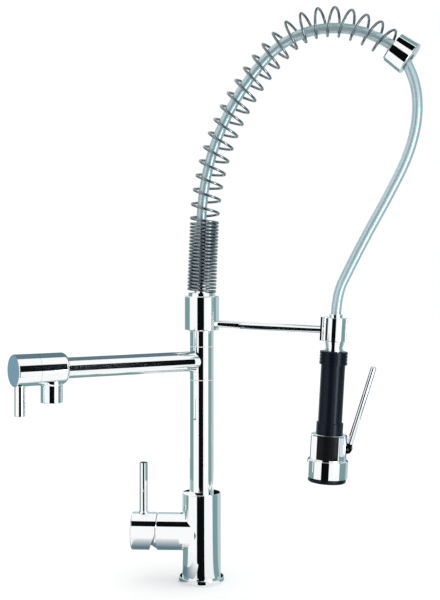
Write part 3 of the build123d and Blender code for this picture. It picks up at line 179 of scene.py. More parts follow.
@dataclass(frozen=True)
class Finish:
    """One surface finish, built as shader nodes on Object coordinates.

    Attributes:
        name: name of the material.
        colour: base colour, linear.
        shade: colour that the fine mottling leans to.
        metallic: 1 for metal.
        roughness: mean roughness.
        roughness_spread: how far the roughness wanders.
        grain: size of the mottling, in cells per metre.
        bump: depth of the surface's unevenness, in metres, or 0 for none.
        coat: strength of a clear coat.
        ior: index of refraction.
        thread: pitch of a thread round Z, in metres, or 0 for none.
    """

    name: str
    colour: Point
    shade: Point
    metallic: float
    roughness: float
    roughness_spread: float
    grain: float
    bump: float = 0.0
    coat: float = 0.0
    ior: float = 1.5
    thread: float = 0.0

    def build(self) -> bpy.types.Material:
        """Make the material.

        Returns:
            The node-based material.
        """
        material = bpy.data.materials.new(self.name)
        material.use_nodes = True
        nodes = material.node_tree.nodes
        links = material.node_tree.links
        shader = nodes["Principled BSDF"]
        shader.inputs["Metallic"].default_value = self.metallic
        shader.inputs["Coat Weight"].default_value = self.coat
        shader.inputs["Coat Roughness"].default_value = COAT_ROUGHNESS
        shader.inputs["IOR"].default_value = self.ior
        place = nodes.new("ShaderNodeTexCoord")
        mottle = nodes.new("ShaderNodeTexNoise")
        mottle.inputs["Scale"].default_value = self.grain
        mottle.inputs["Detail"].default_value = MOTTLE_DETAIL
        links.new(place.outputs["Object"], mottle.inputs["Vector"])
        tint = nodes.new("ShaderNodeMix")
        tint.data_type = "RGBA"
        tint.inputs["A"].default_value = (*self.colour, 1.0)
        tint.inputs["B"].default_value = (*self.shade, 1.0)
        links.new(mottle.outputs["Fac"], tint.inputs["Factor"])
        links.new(tint.outputs["Result"], shader.inputs["Base Color"])
        gloss = nodes.new("ShaderNodeMapRange")
        gloss.inputs["To Min"].default_value = self.roughness - self.roughness_spread
        gloss.inputs["To Max"].default_value = self.roughness + self.roughness_spread
        links.new(mottle.outputs["Fac"], gloss.inputs["Value"])
        links.new(gloss.outputs["Result"], shader.inputs["Roughness"])
        if self.bump or self.thread:
            self.add_relief(material.node_tree, place, mottle, shader)
        return material

    def add_relief(self, tree: bpy.types.NodeTree, place: bpy.types.Node, mottle: bpy.types.Node,
                   shader: bpy.types.Node) -> None:
        """Make the surface uneven, over a thread if the finish has one.

        Args:
            tree: the material's node tree.
            place: the node that gives the coordinates.
            mottle: the node that gives the unevenness.
            shader: the node that takes the normal.
        """
        relief = tree.nodes.new("ShaderNodeBump")
        relief.inputs["Strength"].default_value = RELIEF_STRENGTH
        relief.inputs["Distance"].default_value = self.bump
        tree.links.new(mottle.outputs["Fac"], relief.inputs["Height"])
        if self.thread:
            ridges = tree.nodes.new("ShaderNodeTexWave")
            ridges.bands_direction = "Z"
            ridges.inputs["Scale"].default_value = 2 * math.pi / (WAVE_RATE * self.thread)
            tree.links.new(place.outputs["Object"], ridges.inputs["Vector"])
            turned = tree.nodes.new("ShaderNodeBump")
            turned.inputs["Distance"].default_value = self.thread * THREAD_DEPTH
            tree.links.new(ridges.outputs["Fac"], turned.inputs["Height"])
            tree.links.new(turned.outputs["Normal"], relief.inputs["Normal"])
        tree.links.new(relief.outputs["Normal"], shader.inputs["Normal"])


FINISHES: dict[Slot, Finish] = {
    Slot.CHROME: Finish(
        "chrome_plate", colour=(0.95, 0.965, 0.97), shade=(0.93, 0.945, 0.955),
        metallic=1.0, roughness=0.035, roughness_spread=0.015, grain=220.0,
    ),
    Slot.SLIP_RING: Finish(
        "slip_ring_white", colour=(0.86, 0.86, 0.85), shade=(0.78, 0.78, 0.77),
        metallic=0.0, roughness=0.4, roughness_spread=0.08, grain=900.0, bump=0.00002,
    ),
    Slot.HOSE: Finish(
        "hose_clear_grey", colour=(0.52, 0.66, 0.70), shade=(0.45, 0.60, 0.64),
        metallic=0.45, roughness=0.3, roughness_spread=0.06, grain=300.0, coat=0.3,
    ),
    Slot.BLACK_PLASTIC: Finish(
        "black_moulding", colour=(0.012, 0.012, 0.014), shade=(0.02, 0.02, 0.022),
        metallic=0.0, roughness=0.42, roughness_spread=0.08, grain=1200.0, bump=0.00002,
    ),
    Slot.GRIP_RUBBER: Finish(
        "grip_rubber", colour=(0.0025, 0.005, 0.012), shade=(0.005, 0.009, 0.018),
        metallic=0.0, roughness=0.24, roughness_spread=0.05, grain=1500.0, bump=0.00002,
        ior=1.26,
    ),
    Slot.BRASS: Finish(
        "turned_brass", colour=(0.70, 0.50, 0.22), shade=(0.62, 0.43, 0.18),
        metallic=1.0, roughness=0.28, roughness_spread=0.08, grain=500.0, bump=0.00001,
    ),
    Slot.STEEL: Finish(
        "turned_steel", colour=(0.55, 0.55, 0.56), shade=(0.48, 0.48, 0.49),
        metallic=1.0, roughness=0.3, roughness_spread=0.08, grain=500.0, bump=0.00001,
    ),
    Slot.WHITE_PLASTIC: Finish(
        "white_moulding", colour=(0.82, 0.82, 0.80), shade=(0.76, 0.76, 0.74),
        metallic=0.0, roughness=0.38, roughness_spread=0.06, grain=800.0, bump=0.00002,
    ),
}
SPRING_WIRE = Finish(
    "spring_wire", colour=(0.30, 0.34, 0.36), shade=(0.22, 0.25, 0.27),
    metallic=1.0, roughness=0.12, roughness_spread=0.04, grain=260.0,
)
THREADED_BRASS = replace(FINISHES[Slot.BRASS], name="threaded_brass", thread=0.0015)
# Painted reflection: near-black for the sheet on the valve housing that stands in for a dark reflection in
# the chrome.
PAINTED_REFLECTION_BLACK = Finish(
    "painted_reflection_black", colour=(0.004, 0.005, 0.006), shade=(0.007, 0.008, 0.010),
    metallic=0.0, roughness=0.3, roughness_spread=0.05, grain=1200.0, bump=0.00001, ior=1.2,
)
OWN_FINISH: dict[str, Finish] = {"threaded_shank": THREADED_BRASS}


@dataclass
class Finishes:
    """Builds each finish once and puts it on the pieces."""

    made: dict[Finish, bpy.types.Material] = field(default_factory=dict)

    def get(self, finish: Finish) -> bpy.types.Material:
        """Give the material of a finish.

        Args:
            finish: the finish.

        Returns:
            The material, built the first time that it is asked for.
        """
        if finish not in self.made:
            self.made[finish] = finish.build()
        return self.made[finish]

    def dress(self, piece: bpy.types.Object, finish: Finish) -> None:
        """Put a finish on a whole piece.

        Args:
            piece: the piece to dress.
            finish: the finish that it takes.
        """
        piece.data.materials.clear()
        piece.data.materials.append(self.get(finish))

    def dress_frame(self) -> None:
        """Put every CAD node in the finish of its slot."""
        for subpart in frame["record"]["subparts"]:
            node = frame["nodes"][subpart["node"]]
            finish = FINISHES[Slot(subpart["material_slot"])]
            material = self.get(OWN_FINISH.get(subpart["node"], finish))
            for place in node.material_slots:
                place.material = material


@dataclass
class Arch:
    """Centre line of the spring's arch, in millimetres and degrees.

    Attributes:
        lean: lean of the straight rise.
        rise: length of the straight rise.
        bends: radius and turn of each bend.
        end: length of the straight end.
    """

    lean: float = 2.3
    rise: float = 83.5
    bends: tuple[tuple[float, float], ...] = ((313.0, 44.2), (74.5, 59.6), (139.0, 21.0))
    end: float = 36.5

    def length(self) -> float:
        """Give the whole length of the line."""
        bent = sum(radius * math.radians(turn) for radius, turn in self.bends)
        return self.rise + bent + self.end

    def at(self, distance: float) -> tuple[float, float, float]:
        """Follow the line.

        Args:
            distance: distance from the spring's seat.

        Returns:
            Reach, height and lean at that distance, the lean in radians.
        """
        reach, height, lean = 0.0, SEAT_TOP, math.radians(self.lean)
        legs = [(0.0, self.rise)]
        legs += [(radius, radius * math.radians(turn)) for radius, turn in self.bends]
        legs += [(0.0, self.end)]
        for radius, length in legs:
            step = min(distance, length)
            if radius:
                turned = lean + step / radius
                reach += radius * (math.cos(lean) - math.cos(turned))
                height += radius * (math.sin(turned) - math.sin(lean))
                lean = turned
            else:
                reach += step * math.sin(lean)
                height += step * math.cos(lean)
            distance -= step
        return reach, height, lean

    def spot(self, distance: float, radius: float, turns: float) -> Vector:
        """Give a point beside the line.

        Args:
            distance: distance along the line.
            radius: distance from the line.
            turns: turns from the arch's outer side, round by the back.

        Returns:
            The point in metres.
        """
        reach, height, lean = self.at(distance)
        out = radius * math.cos(2 * math.pi * turns)
        aside = -radius * math.sin(2 * math.pi * turns)
        return arch_point(reach - out * math.cos(lean), height + out * math.sin(lean), aside)


@dataclass
class ArchSpring:
    """The wound spring, from the tang in its seat to the tail in the collar, in millimetres.

    Attributes:
        wire: radius of the wire.
        tight: radius of the tight turns.
        opened: radius of the open turns.
        closed: radius of the last turn.
        tight_turns: number of tight turns.
        tight_pitch: rise of a tight turn.
        open_turns: number of open turns.
        taper_turns: share of the last turn over which it closes.
        first: height of the wire over the seat.
        tang: reach of the tang's inner and outer end.
        tang_turn: place of the tang before the first turn.
        tail_turn: place of the tail after the last turn.
        tail_rise: distance from the last turn to the tail.
        tail: length of the tail.
        collar_wall: thickness of the collar's end wall.
        bend_reach: share of the tight radius that steers the bends to the tang and the tail.
        bend_points: points for each of these bends.
        steps: points for each turn.
        sides: sides of the wire.
        arch: the line that the turns follow.
    """

    wire: float = 1.55
    tight: float = 16.15
    opened: float = 16.45
    closed: float = 15.05
    tight_turns: float = 20.0
    tight_pitch: float = 4.1
    open_turns: float = 22.66
    taper_turns: float = 0.6
    first: float = 1.9
    tang: tuple[float, float] = (7.7, 11.2)
    tang_turn: float = 0.09
    tail_turn: float = 0.1
    tail_rise: float = 11.2
    tail: float = 3.0
    collar_wall: float = 3.0
    bend_reach: float = 0.3
    bend_points: int = 12
    steps: int = 36
    sides: int = 14
    arch: Arch = field(default_factory=Arch)

    def whole(self) -> float:
        """Give the number of turns from the foot to the last one."""
        return self.tight_turns + 1 + self.open_turns

    def spot(self, turns: float) -> Vector:
        """Give the wire's centre after a number of turns.

        Args:
            turns: turns from the foot.

        Returns:
            The point in metres.
        """
        whole = self.whole()
        end = self.arch.length() - self.collar_wall - self.tail - self.tail_rise
        tight_end = self.first + self.tight_pitch * self.tight_turns
        pitch = (end - tight_end - self.tight_pitch / 2) / (self.open_turns + 0.5)
        past = turns - self.tight_turns
        if past <= 0:
            distance = self.first + self.tight_pitch * turns
        elif past <= 1:
            distance = tight_end + self.tight_pitch * past
            distance += (pitch - self.tight_pitch) * past ** 2 / 2
        else:
            distance = tight_end + (self.tight_pitch + pitch) / 2 + pitch * (past - 1)
        opened = min(max(past, 0.0), 1.0)
        closed = min(max(turns - whole + 1, 0.0) / self.taper_turns, 1.0)
        radius = self.tight + (self.opened - self.tight) * opened
        radius += (self.closed - self.opened) * closed
        return self.arch.spot(distance, radius, turns - whole)

    def line(self) -> list[Vector]:
        """Follow the wire from end to end.

        Returns:
            Points in metres.
        """
        whole = self.whole()
        count = round(whole * self.steps)
        coil = [self.spot(whole * index / count) for index in range(count + 1)]
        tang_out = self.arch.spot(self.first, self.tang[1], -whole - self.tang_turn)
        tang_in = self.arch.spot(self.first, self.tang[0], -whole - self.tang_turn)
        floor = self.arch.length() - self.collar_wall
        tail_start = self.arch.spot(floor - self.tail, self.closed, self.tail_turn)
        tail_end = self.arch.spot(floor, self.closed, self.tail_turn)
        reach = self.tight * MM * self.bend_reach
        start_way = (tang_out - tang_in).normalized() * reach
        coil_start_way = (coil[1] - coil[0]).normalized() * reach
        coil_end_way = (coil[-1] - coil[-2]).normalized() * reach
        tail_way = (tail_end - tail_start).normalized() * reach
        foot = interpolate_bezier(tang_out, tang_out + start_way, coil[0] - coil_start_way, coil[0],
                                  self.bend_points)
        head = interpolate_bezier(coil[-1], coil[-1] + coil_end_way, tail_start - tail_way, tail_start,
                                  self.bend_points)
        return [tang_in, *foot[:-1], *coil, *head[1:], tail_end]

    def build(self, finishes: Finishes) -> bpy.types.Object:
        """Make the spring as one round wire.

        Args:
            finishes: the finishes of the scene.

        Returns:
            The spring.
        """
        spring = wire_along("wound_spring", self.line(), self.wire * MM, self.sides)
        finishes.dress(spring, SPRING_WIRE)
        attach(spring, Body.UPPER.value)
        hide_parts("arch_spring")
        return spring


@dataclass
class SpringHose:
    """The hose inside the spring, from the seat's nipple to the collar.

    Attributes:
        diameter: outer diameter, in metres.
        route: places in the arch's plane that steer the hose, in millimetres.
    """

    diameter: float = 0.012
    route: tuple[tuple[float, float], ...] = (
        (0.0, 346.0), (0.0, 370.0), (0.0, 395.6), (0.0, 418.0), (0.0, 444.1), (4.6, 480.1), (13.6, 515.3),
        (27.0, 549.0), (44.6, 580.7), (66.0, 610.0), (85.0, 630.1), (100.4, 641.3), (117.6, 649.5),
        (135.9, 654.4), (156.5, 656.0), (178.5, 653.6), (199.7, 647.2), (219.4, 637.1), (231.6, 627.6),
        (237.4, 621.0), (239.5, 617.1),
    )

    def build(self, finishes: Finishes) -> bpy.types.Object:
        """Make the hose as a smooth tube.

        Args:
            finishes: the finishes of the scene.

        Returns:
            The hose.
        """
        hose = tube_along("hose_in_spring", nurbs_line(self.route), self.diameter / 2, HOSE_SIDES)
        finishes.dress(hose, FINISHES[Slot.HOSE])
        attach(hose, Body.UPPER.value)
        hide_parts("spring_hose")
        return hose


@dataclass
class HangingHose:
    """The free hose from the collar to the hand spray.

    Attributes:
        diameter: outer diameter, in metres.
        route: places in the arch's plane that steer the hose, in millimetres.
    """

    diameter: float = 0.012
    route: tuple[tuple[float, float], ...] = (
        (239.5, 617.0), (248.5, 601.0), (255.5, 572.0), (253.8, 537.5), (243.0, 500.5),
        (222.3, 459.5), (196.2, 412.4), (176.0, 373.0), (162.54, 345.0), (161.2, 321.0),
    )

    def build(self, finishes: Finishes) -> bpy.types.Object:
        """Make the hose as a smooth tube.

        Args:
            finishes: the finishes of the scene.

        Returns:
            The hose.
        """
        points = nurbs_line(self.route)
        hose = tube_along("hanging_hose", points, self.diameter / 2, HOSE_SIDES)
        finishes.dress(hose, FINISHES[Slot.HOSE])
        length = sum((b - a).length for a, b in zip(points, points[1:]))
        tuple(points[0])
        tuple(points[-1])
        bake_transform(hose)
        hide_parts("free_hose")
        tuple(points[0])
        [tuple(point) for point in points]
        return hose


@dataclass
class PlungerSpring:
    """The small coil spring under the valve plunger's head, in millimetres.

    Attributes:
        offset: distance of its axis from the hand spray's axis.
        floor: station of its lower end.
        top: station of its upper end.
        coil: radius of the coil to the wire's centre.
        wire: radius of the wire.
        turns: number of turns.
        steps: points for each turn.
        sides: sides of the wire.
        keep: share of its height that is left when the plunger is pushed home; not used.
    """

    offset: float = 11.0
    floor: float = 166.0
    top: float = 160.2
    coil: float = 3.2
    wire: float = 0.3
    turns: float = 3.25
    steps: int = 24
    sides: int = 10
    keep: float = 0.41

    def build(self, finishes: Finishes) -> bpy.types.Object:
        """Make the spring as one round wire.

        Args:
            finishes: the finishes of the scene.

        Returns:
            The spring.
        """
        aside = arch_aside()
        count = round(self.turns * self.steps)
        points = []
        for index in range(count + 1):
            turn = 2 * math.pi * self.turns * index / count
            climb = (self.top - self.floor + 2 * self.wire) * index / count
            station = self.floor - self.wire + climb
            middle = spray_point(station, 0.0, self.offset + self.coil * math.cos(turn))
            points.append(middle + aside * self.coil * math.sin(turn))
        spring = wire_along("plunger_coil", points, self.wire * MM, self.sides)
        finishes.dress(spring, FINISHES[Slot.STEEL])
        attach(spring, Body.HANDSET.value)
        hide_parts("plunger_spring")
        foot = spray_point(self.floor, 0.0, self.offset)
        head = spray_point(self.top, 0.0, self.offset)
        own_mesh(spring)
        return spring


@dataclass
class HousingPaintedReflection:
    """A black sheet on the viewer's side of the valve housing, a painted reflection that stands in for the
    dark band the chrome mirrors there, in millimetres and degrees.

    Attributes:
        top: station of its upper edge.
        bottom: station of its lower edge.
        centre: turn of its middle from the lever's side.
        half: half of the turn that it covers.
        seat: radius of its back.
        thickness: its thickness.
        edge: size of its rounded edge.
        edge_steps: faces across the rounded edge.
        columns: faces across it.
        rows: faces up it.
    """

    top: float = 140.4
    bottom: float = 168.6
    centre: float = 87.5
    half: float = 36.0
    seat: float = 21.0
    thickness: float = 0.5
    edge: float = 0.15
    edge_steps: int = 3
    columns: int = 24
    rows: int = 4

    def sheet(self) -> bpy.types.Object:
        """Bend a flat grid round the housing.

        Returns:
            The back of the painted reflection's sheet, without thickness.
        """
        bpy.ops.object.select_all(action="DESELECT")
        bpy.ops.mesh.primitive_grid_add(x_subdivisions=self.columns, y_subdivisions=self.rows, size=2.0)
        reflection_sheet = bpy.context.object
        reflection_sheet.name = "housing_painted_reflection"
        for vertex in reflection_sheet.data.vertices:
            turn = math.radians(self.centre + self.half * vertex.co.x)
            station = self.bottom + (self.top - self.bottom) * (vertex.co.y + 1) / 2
            vertex.co = spray_point(station, turn, self.seat)
        bpy.ops.object.mode_set(mode="EDIT")
        bpy.ops.mesh.select_all(action="SELECT")
        bpy.ops.mesh.normals_make_consistent(inside=False)
        bpy.ops.object.mode_set(mode="OBJECT")
        return reflection_sheet

    def build(self, finishes: Finishes) -> bpy.types.Object:
        """Thicken the sheet outwards, round its edges and dress it.

        Args:
            finishes: the finishes of the scene.

        Returns:
            The painted reflection.
        """
        reflection_sheet = self.sheet()
        centre = math.radians(self.centre)
        outward = spray_point(self.top, centre, self.seat + 1) - spray_point(self.top, centre, self.seat)
        middle = reflection_sheet.data.polygons[len(reflection_sheet.data.polygons) // 2]
        wall = reflection_sheet.modifiers.new("wall", "SOLIDIFY")
        wall.thickness = self.thickness * MM
        wall.offset = 1.0 if middle.normal.dot(outward) > 0 else -1.0
        bpy.ops.object.modifier_apply(modifier=wall.name)
        edge = reflection_sheet.modifiers.new("edge", "BEVEL")
        edge.width = self.edge * MM
        edge.segments = self.edge_steps
        edge.limit_method = "ANGLE"
        bpy.ops.object.modifier_apply(modifier=edge.name)
        smooth(reflection_sheet, SMOOTH_ANGLE)
        # Painted reflection: the sheet is dressed near-black where the chrome would mirror dark.
        finishes.dress(reflection_sheet, PAINTED_REFLECTION_BLACK)
        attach(reflection_sheet, Body.HANDSET.value)
        return reflection_sheet


def nurbs_line(route: Sequence[tuple[float, float]]) -> list[Vector]:
    """Read points along the smooth line that a route steers.

    Args:
        route: reach and height of each place in the arch's plane, in millimetres.

    Returns:
        Points in metres, from the route's start to its end.
    """
    line = bpy.data.curves.new("route", "CURVE")
    line.dimensions = "3D"
    line.resolution_u = ROUTE_STEPS
    spline = line.splines.new("NURBS")
    spline.points.add(len(route) - 1)
    for control, (reach, height) in zip(spline.points, route):
        control.co = (*arch_point(reach, height), 1.0)
    spline.order_u = ROUTE_ORDER
    spline.use_endpoint_u = True
    holder = bpy.data.objects.new("route", line)
    bpy.context.scene.collection.objects.link(holder)
    mesh = bpy.data.meshes.new_from_object(holder)
    points = [vertex.co.copy() for vertex in mesh.vertices]
    bpy.data.objects.remove(holder)
    bpy.data.meshes.remove(mesh)
    return points


def tube_along(name: str, points: Sequence[Vector], radius: float, sides: int) -> bpy.types.Object:
    """Sweep a ring of points along a line that lies in the arch's plane.

    Args:
        name: name of the piece.
        points: the line.
        radius: radius of the tube.
        sides: number of sides.

    Returns:
        A closed tube.
    """
    aside = arch_aside().normalized()
    build = bmesh.new()
    rings = []
    for index, point in enumerate(points):
        ahead = points[min(index + 1, len(points) - 1)]
        behind = points[max(index - 1, 0)]
        forward = (ahead - behind).normalized()
        across = forward.cross(aside).normalized()
        ring = []
        for step in range(sides):
            angle = 2 * math.pi * step / sides
            outward = across * math.cos(angle) + aside * math.sin(angle)
            ring.append(build.verts.new(point + outward * radius))
        rings.append(ring)
    for low, high in zip(rings, rings[1:]):
        for step in range(sides):
            after = (step + 1) % sides
            build.faces.new((low[step], low[after], high[after], high[step]))
    build.faces.new(rings[0])
    build.faces.new(reversed(rings[-1]))
    bmesh.ops.recalc_face_normals(build, faces=build.faces)
    mesh = bpy.data.meshes.new(name)
    build.to_mesh(mesh)
    build.free()
    piece = bpy.data.objects.new(name, mesh)
    bpy.context.scene.collection.objects.link(piece)
    smooth(piece, SMOOTH_ANGLE)
    return piece


def wire_along(name: str, points: Sequence[Vector], radius: float, sides: int) -> bpy.types.Object:
    """Draw a round wire through points.

    Args:
        name: name of the piece.
        points: the wire's centre line, in metres.
        radius: radius of the wire.
        sides: number of sides.

    Returns:
        A closed wire as a mesh.
    """
    data = bpy.data.curves.new(name, "CURVE")
    data.dimensions = "3D"
    data.twist_mode = "MINIMUM"
    data.bevel_depth = radius
    data.bevel_resolution = (sides - 4) // 2
    data.use_fill_caps = True
    spline = data.splines.new("POLY")
    spline.points.add(len(points) - 1)
    for control, point in zip(spline.points, points):
        control.co = (*point, 1.0)
    wire = bpy.data.objects.new(name, data)
    bpy.context.scene.collection.objects.link(wire)
    pick(wire)
    bpy.ops.object.convert(target="MESH")
    wire = bpy.context.object
    smooth(wire, WIRE_SMOOTH_ANGLE)
    return wire


def pick(piece: bpy.types.Object) -> None:
    """Select one piece alone and make it the active one.

    Args:
        piece: the piece.
    """
    bpy.ops.object.select_all(action="DESELECT")
    piece.select_set(True)
    bpy.context.view_layer.objects.active = piece


def smooth(piece: bpy.types.Object, angle: float) -> None:
    """Shade a piece smooth up to an angle between faces.

    Args:
        piece: the piece.
        angle: largest smoothed angle, in degrees.
    """
    pick(piece)
    bpy.ops.object.shade_smooth_by_angle(angle=math.radians(angle))
    bpy.ops.object.select_all(action="DESELECT")


BLACK: Point = (0.003, 0.004, 0.005)
WHITE: Point = (1.0, 1.0, 1.0)
GLOW: Point = (6.0, 7.5, 8.5)
BLUE_GREY: Point = (0.20, 0.33, 0.41)
BLUE_WHITE: Point = (0.72, 0.76, 0.86)
GREEN_GREY: Point = (0.20, 0.33, 0.33)
DARK_GREY: Point = (0.12, 0.20, 0.24)
PALE_GREY: Point = (0.50, 0.60, 0.64)

# Sizes of the set in millimetres: the strips round the collar, and heights from the spout's axis.
STRIP_LENGTH = 30.0
STRIP_DISTANCE = 40.0
OVER_SPOUT = 42
UNDER_SPOUT = -73
# Places in the set in metres.
ON_DECK = 0.0004
ON_DECK_AT_MIXER = 0.0006
OVER_MIXER = 0.112
OVER_ARCH = 0.80
FLANGE_EDGE = 0.031
FRONT_EDGE = 0.051
COLUMN_GAP = 0.045
COLUMN_FOOT = 0.115
WALL_TOP = 0.9
WALL_RIGHT = 0.60


class Side(Enum):
    """Side that a card shows from."""

    BOTH = "both"
    ABOVE = "above"
    BELOW = "below"


@dataclass(frozen=True)
class Card:
    """A studio card that only mirrors show.

    Attributes:
        name: name of the card.
        near_left: first corner, in metres.
        near_right: second corner.
        far_left: third corner, beside the first.
        far_right: last corner.
        colour: its colour at the near side.
        far_colour: its colour at the far side, if it fades.
        side: the side that it shows from.
    """

    name: str
    near_left: Point
    near_right: Point
    far_left: Point
    far_right: Point
    colour: Point
    far_colour: Point | None = None
    side: Side = Side.BOTH

    @classmethod
    def strip(cls, start: float, end: float, colour: Point) -> "Card":
        """Hold a narrow card beside the spring's collar, along its axis.

        Args:
            start: angle of one side round the collar, from the viewer outwards, in degrees.
            end: angle of the other side.
            colour: its colour.

        Returns:
            The card.
        """
        arch = Arch()
        near, far = arch.length(), arch.length() - STRIP_LENGTH
        corners = [tuple(arch.spot(place, STRIP_DISTANCE, (angle - 90) / 360))
                   for place in (near, far) for angle in (start, end)]
        return cls(f"collar_strip_{round(start) + 180}", *corners, colour)

    @classmethod
    def shelf(cls, name: str, along: tuple[float, float], aside: tuple[float, float], lift: float,
              colour: Point, side: Side) -> "Card":
        """Lay a card flat beside the spout.

        Args:
            name: name of the card.
            along: its ends along the spout, in millimetres.
            aside: its sides, to the right of the spout, in millimetres.
            lift: its height over the spout's axis, in millimetres.
            colour: its colour.
            side: the side that it shows from.

        Returns:
            The card.
        """
        height = SPOUT_HEIGHT + lift
        corners = [spout_point(place, width, height) for width in aside for place in along]
        return cls(name, *corners, colour, side=side)

    @classmethod
    def screen(cls, name: str, along: tuple[float, float], aside: float, lifts: tuple[float, float],
               colour: Point) -> "Card":
        """Stand a card upright beside the spout.

        Args:
            name: name of the card.
            along: its ends along the spout, in millimetres.
            aside: its distance to the right of the spout, in millimetres.
            lifts: heights of its edges over the spout's axis, in millimetres.
            colour: its colour.

        Returns:
            The card.
        """
        corners = [spout_point(place, aside, SPOUT_HEIGHT + lift) for lift in lifts for place in along]
        return cls(name, *corners, colour)

    @classmethod
    def wall(cls, name: str, left: tuple[float, float], right: tuple[float, float],
             heights: tuple[float, float], colour: Point) -> "Card":
        """Stand a card upright.

        Args:
            name: name of the card.
            left: x and y of one side, in metres.
            right: x and y of the other side.
            heights: heights of the lower and the upper edge.
            colour: its colour.

        Returns:
            The card.
        """
        corners = [(*side, height) for height in heights for side in (left, right)]
        return cls(name, *corners, colour)

    @classmethod
    def level(cls, name: str, across: tuple[float, float], back: tuple[float, float], height: float,
              colour: Point, far_colour: Point | None = None, side: Side = Side.BOTH) -> "Card":
        """Lay a rectangular card flat.

        Args:
            name: name of the card.
            across: x of its sides, in metres.
            back: y of its near and its far edge.
            height: its height over the deck.
            colour: its colour, or its colour at the near edge.
            far_colour: its colour at the far edge, if it fades.
            side: the side that it shows from.

        Returns:
            The card.
        """
        corners = [(x, y, height) for y in back for x in across]
        return cls(name, *corners, colour, far_colour, side)

    @classmethod
    def fan(cls, name: str, near: tuple[float, float, float], far: tuple[float, float, float],
            colour: Point) -> "Card":
        """Lay a card flat round the column.

        Args:
            name: name of the card.
            near: distance of the near edge from the axis, in metres, and azimuths of its ends, in degrees.
            far: the same of the far edge.
            colour: its colour.

        Returns:
            The card.
        """
        corners = [round_point(azimuth, distance, ON_DECK)
                   for distance, *azimuths in (near, far) for azimuth in azimuths]
        return cls(name, *corners, colour)

    def material(self, upright: bool) -> bpy.types.Material:
        """Make the card glow in its colours, on one side or on both.

        Args:
            upright: whether the front of the card's face is up.

        Returns:
            The material.
        """
        material = bpy.data.materials.new(self.name)
        material.use_nodes = True
        nodes = material.node_tree.nodes
        links = material.node_tree.links
        nodes.clear()
        glow = nodes.new("ShaderNodeEmission")
        glow.inputs["Color"].default_value = (*self.colour, 1.0)
        if self.far_colour:
            place = nodes.new("ShaderNodeTexCoord")
            split = nodes.new("ShaderNodeSeparateXYZ")
            fade = nodes.new("ShaderNodeMix")
            fade.data_type = "RGBA"
            fade.inputs["A"].default_value = (*self.colour, 1.0)
            fade.inputs["B"].default_value = (*self.far_colour, 1.0)
            links.new(place.outputs["UV"], split.inputs["Vector"])
            links.new(split.outputs["Y"], fade.inputs["Factor"])
            links.new(fade.outputs["Result"], glow.inputs["Color"])
        out = nodes.new("ShaderNodeOutputMaterial")
        if self.side is Side.BOTH:
            links.new(glow.outputs["Emission"], out.inputs["Surface"])
            return material
        front, back = (1, 2) if upright == (self.side is Side.ABOVE) else (2, 1)
        face = nodes.new("ShaderNodeNewGeometry")
        clear = nodes.new("ShaderNodeBsdfTransparent")
        choice = nodes.new("ShaderNodeMixShader")
        links.new(face.outputs["Backfacing"], choice.inputs["Fac"])
        links.new(glow.outputs["Emission"], choice.inputs[front])
        links.new(clear.outputs["BSDF"], choice.inputs[back])
        links.new(choice.outputs["Shader"], out.inputs["Surface"])
        return material

    def build(self) -> bpy.types.Object:
        """Put the card in the set.

        Returns:
            The card.
        """
        bpy.ops.object.select_all(action="DESELECT")
        bpy.ops.mesh.primitive_plane_add(size=1.0)
        card = bpy.context.object
        card.name = self.name
        corners = (self.near_left, self.near_right, self.far_left, self.far_right)
        for vertex, corner in zip(card.data.vertices, corners):
            vertex.co = corner
        card.data.update()
        card.visible_camera = False
        card.visible_diffuse = False
        card.visible_shadow = False
        card.visible_transmission = False
        card.data.materials.append(self.material(card.data.polygons[0].normal.z > 0))
        return card


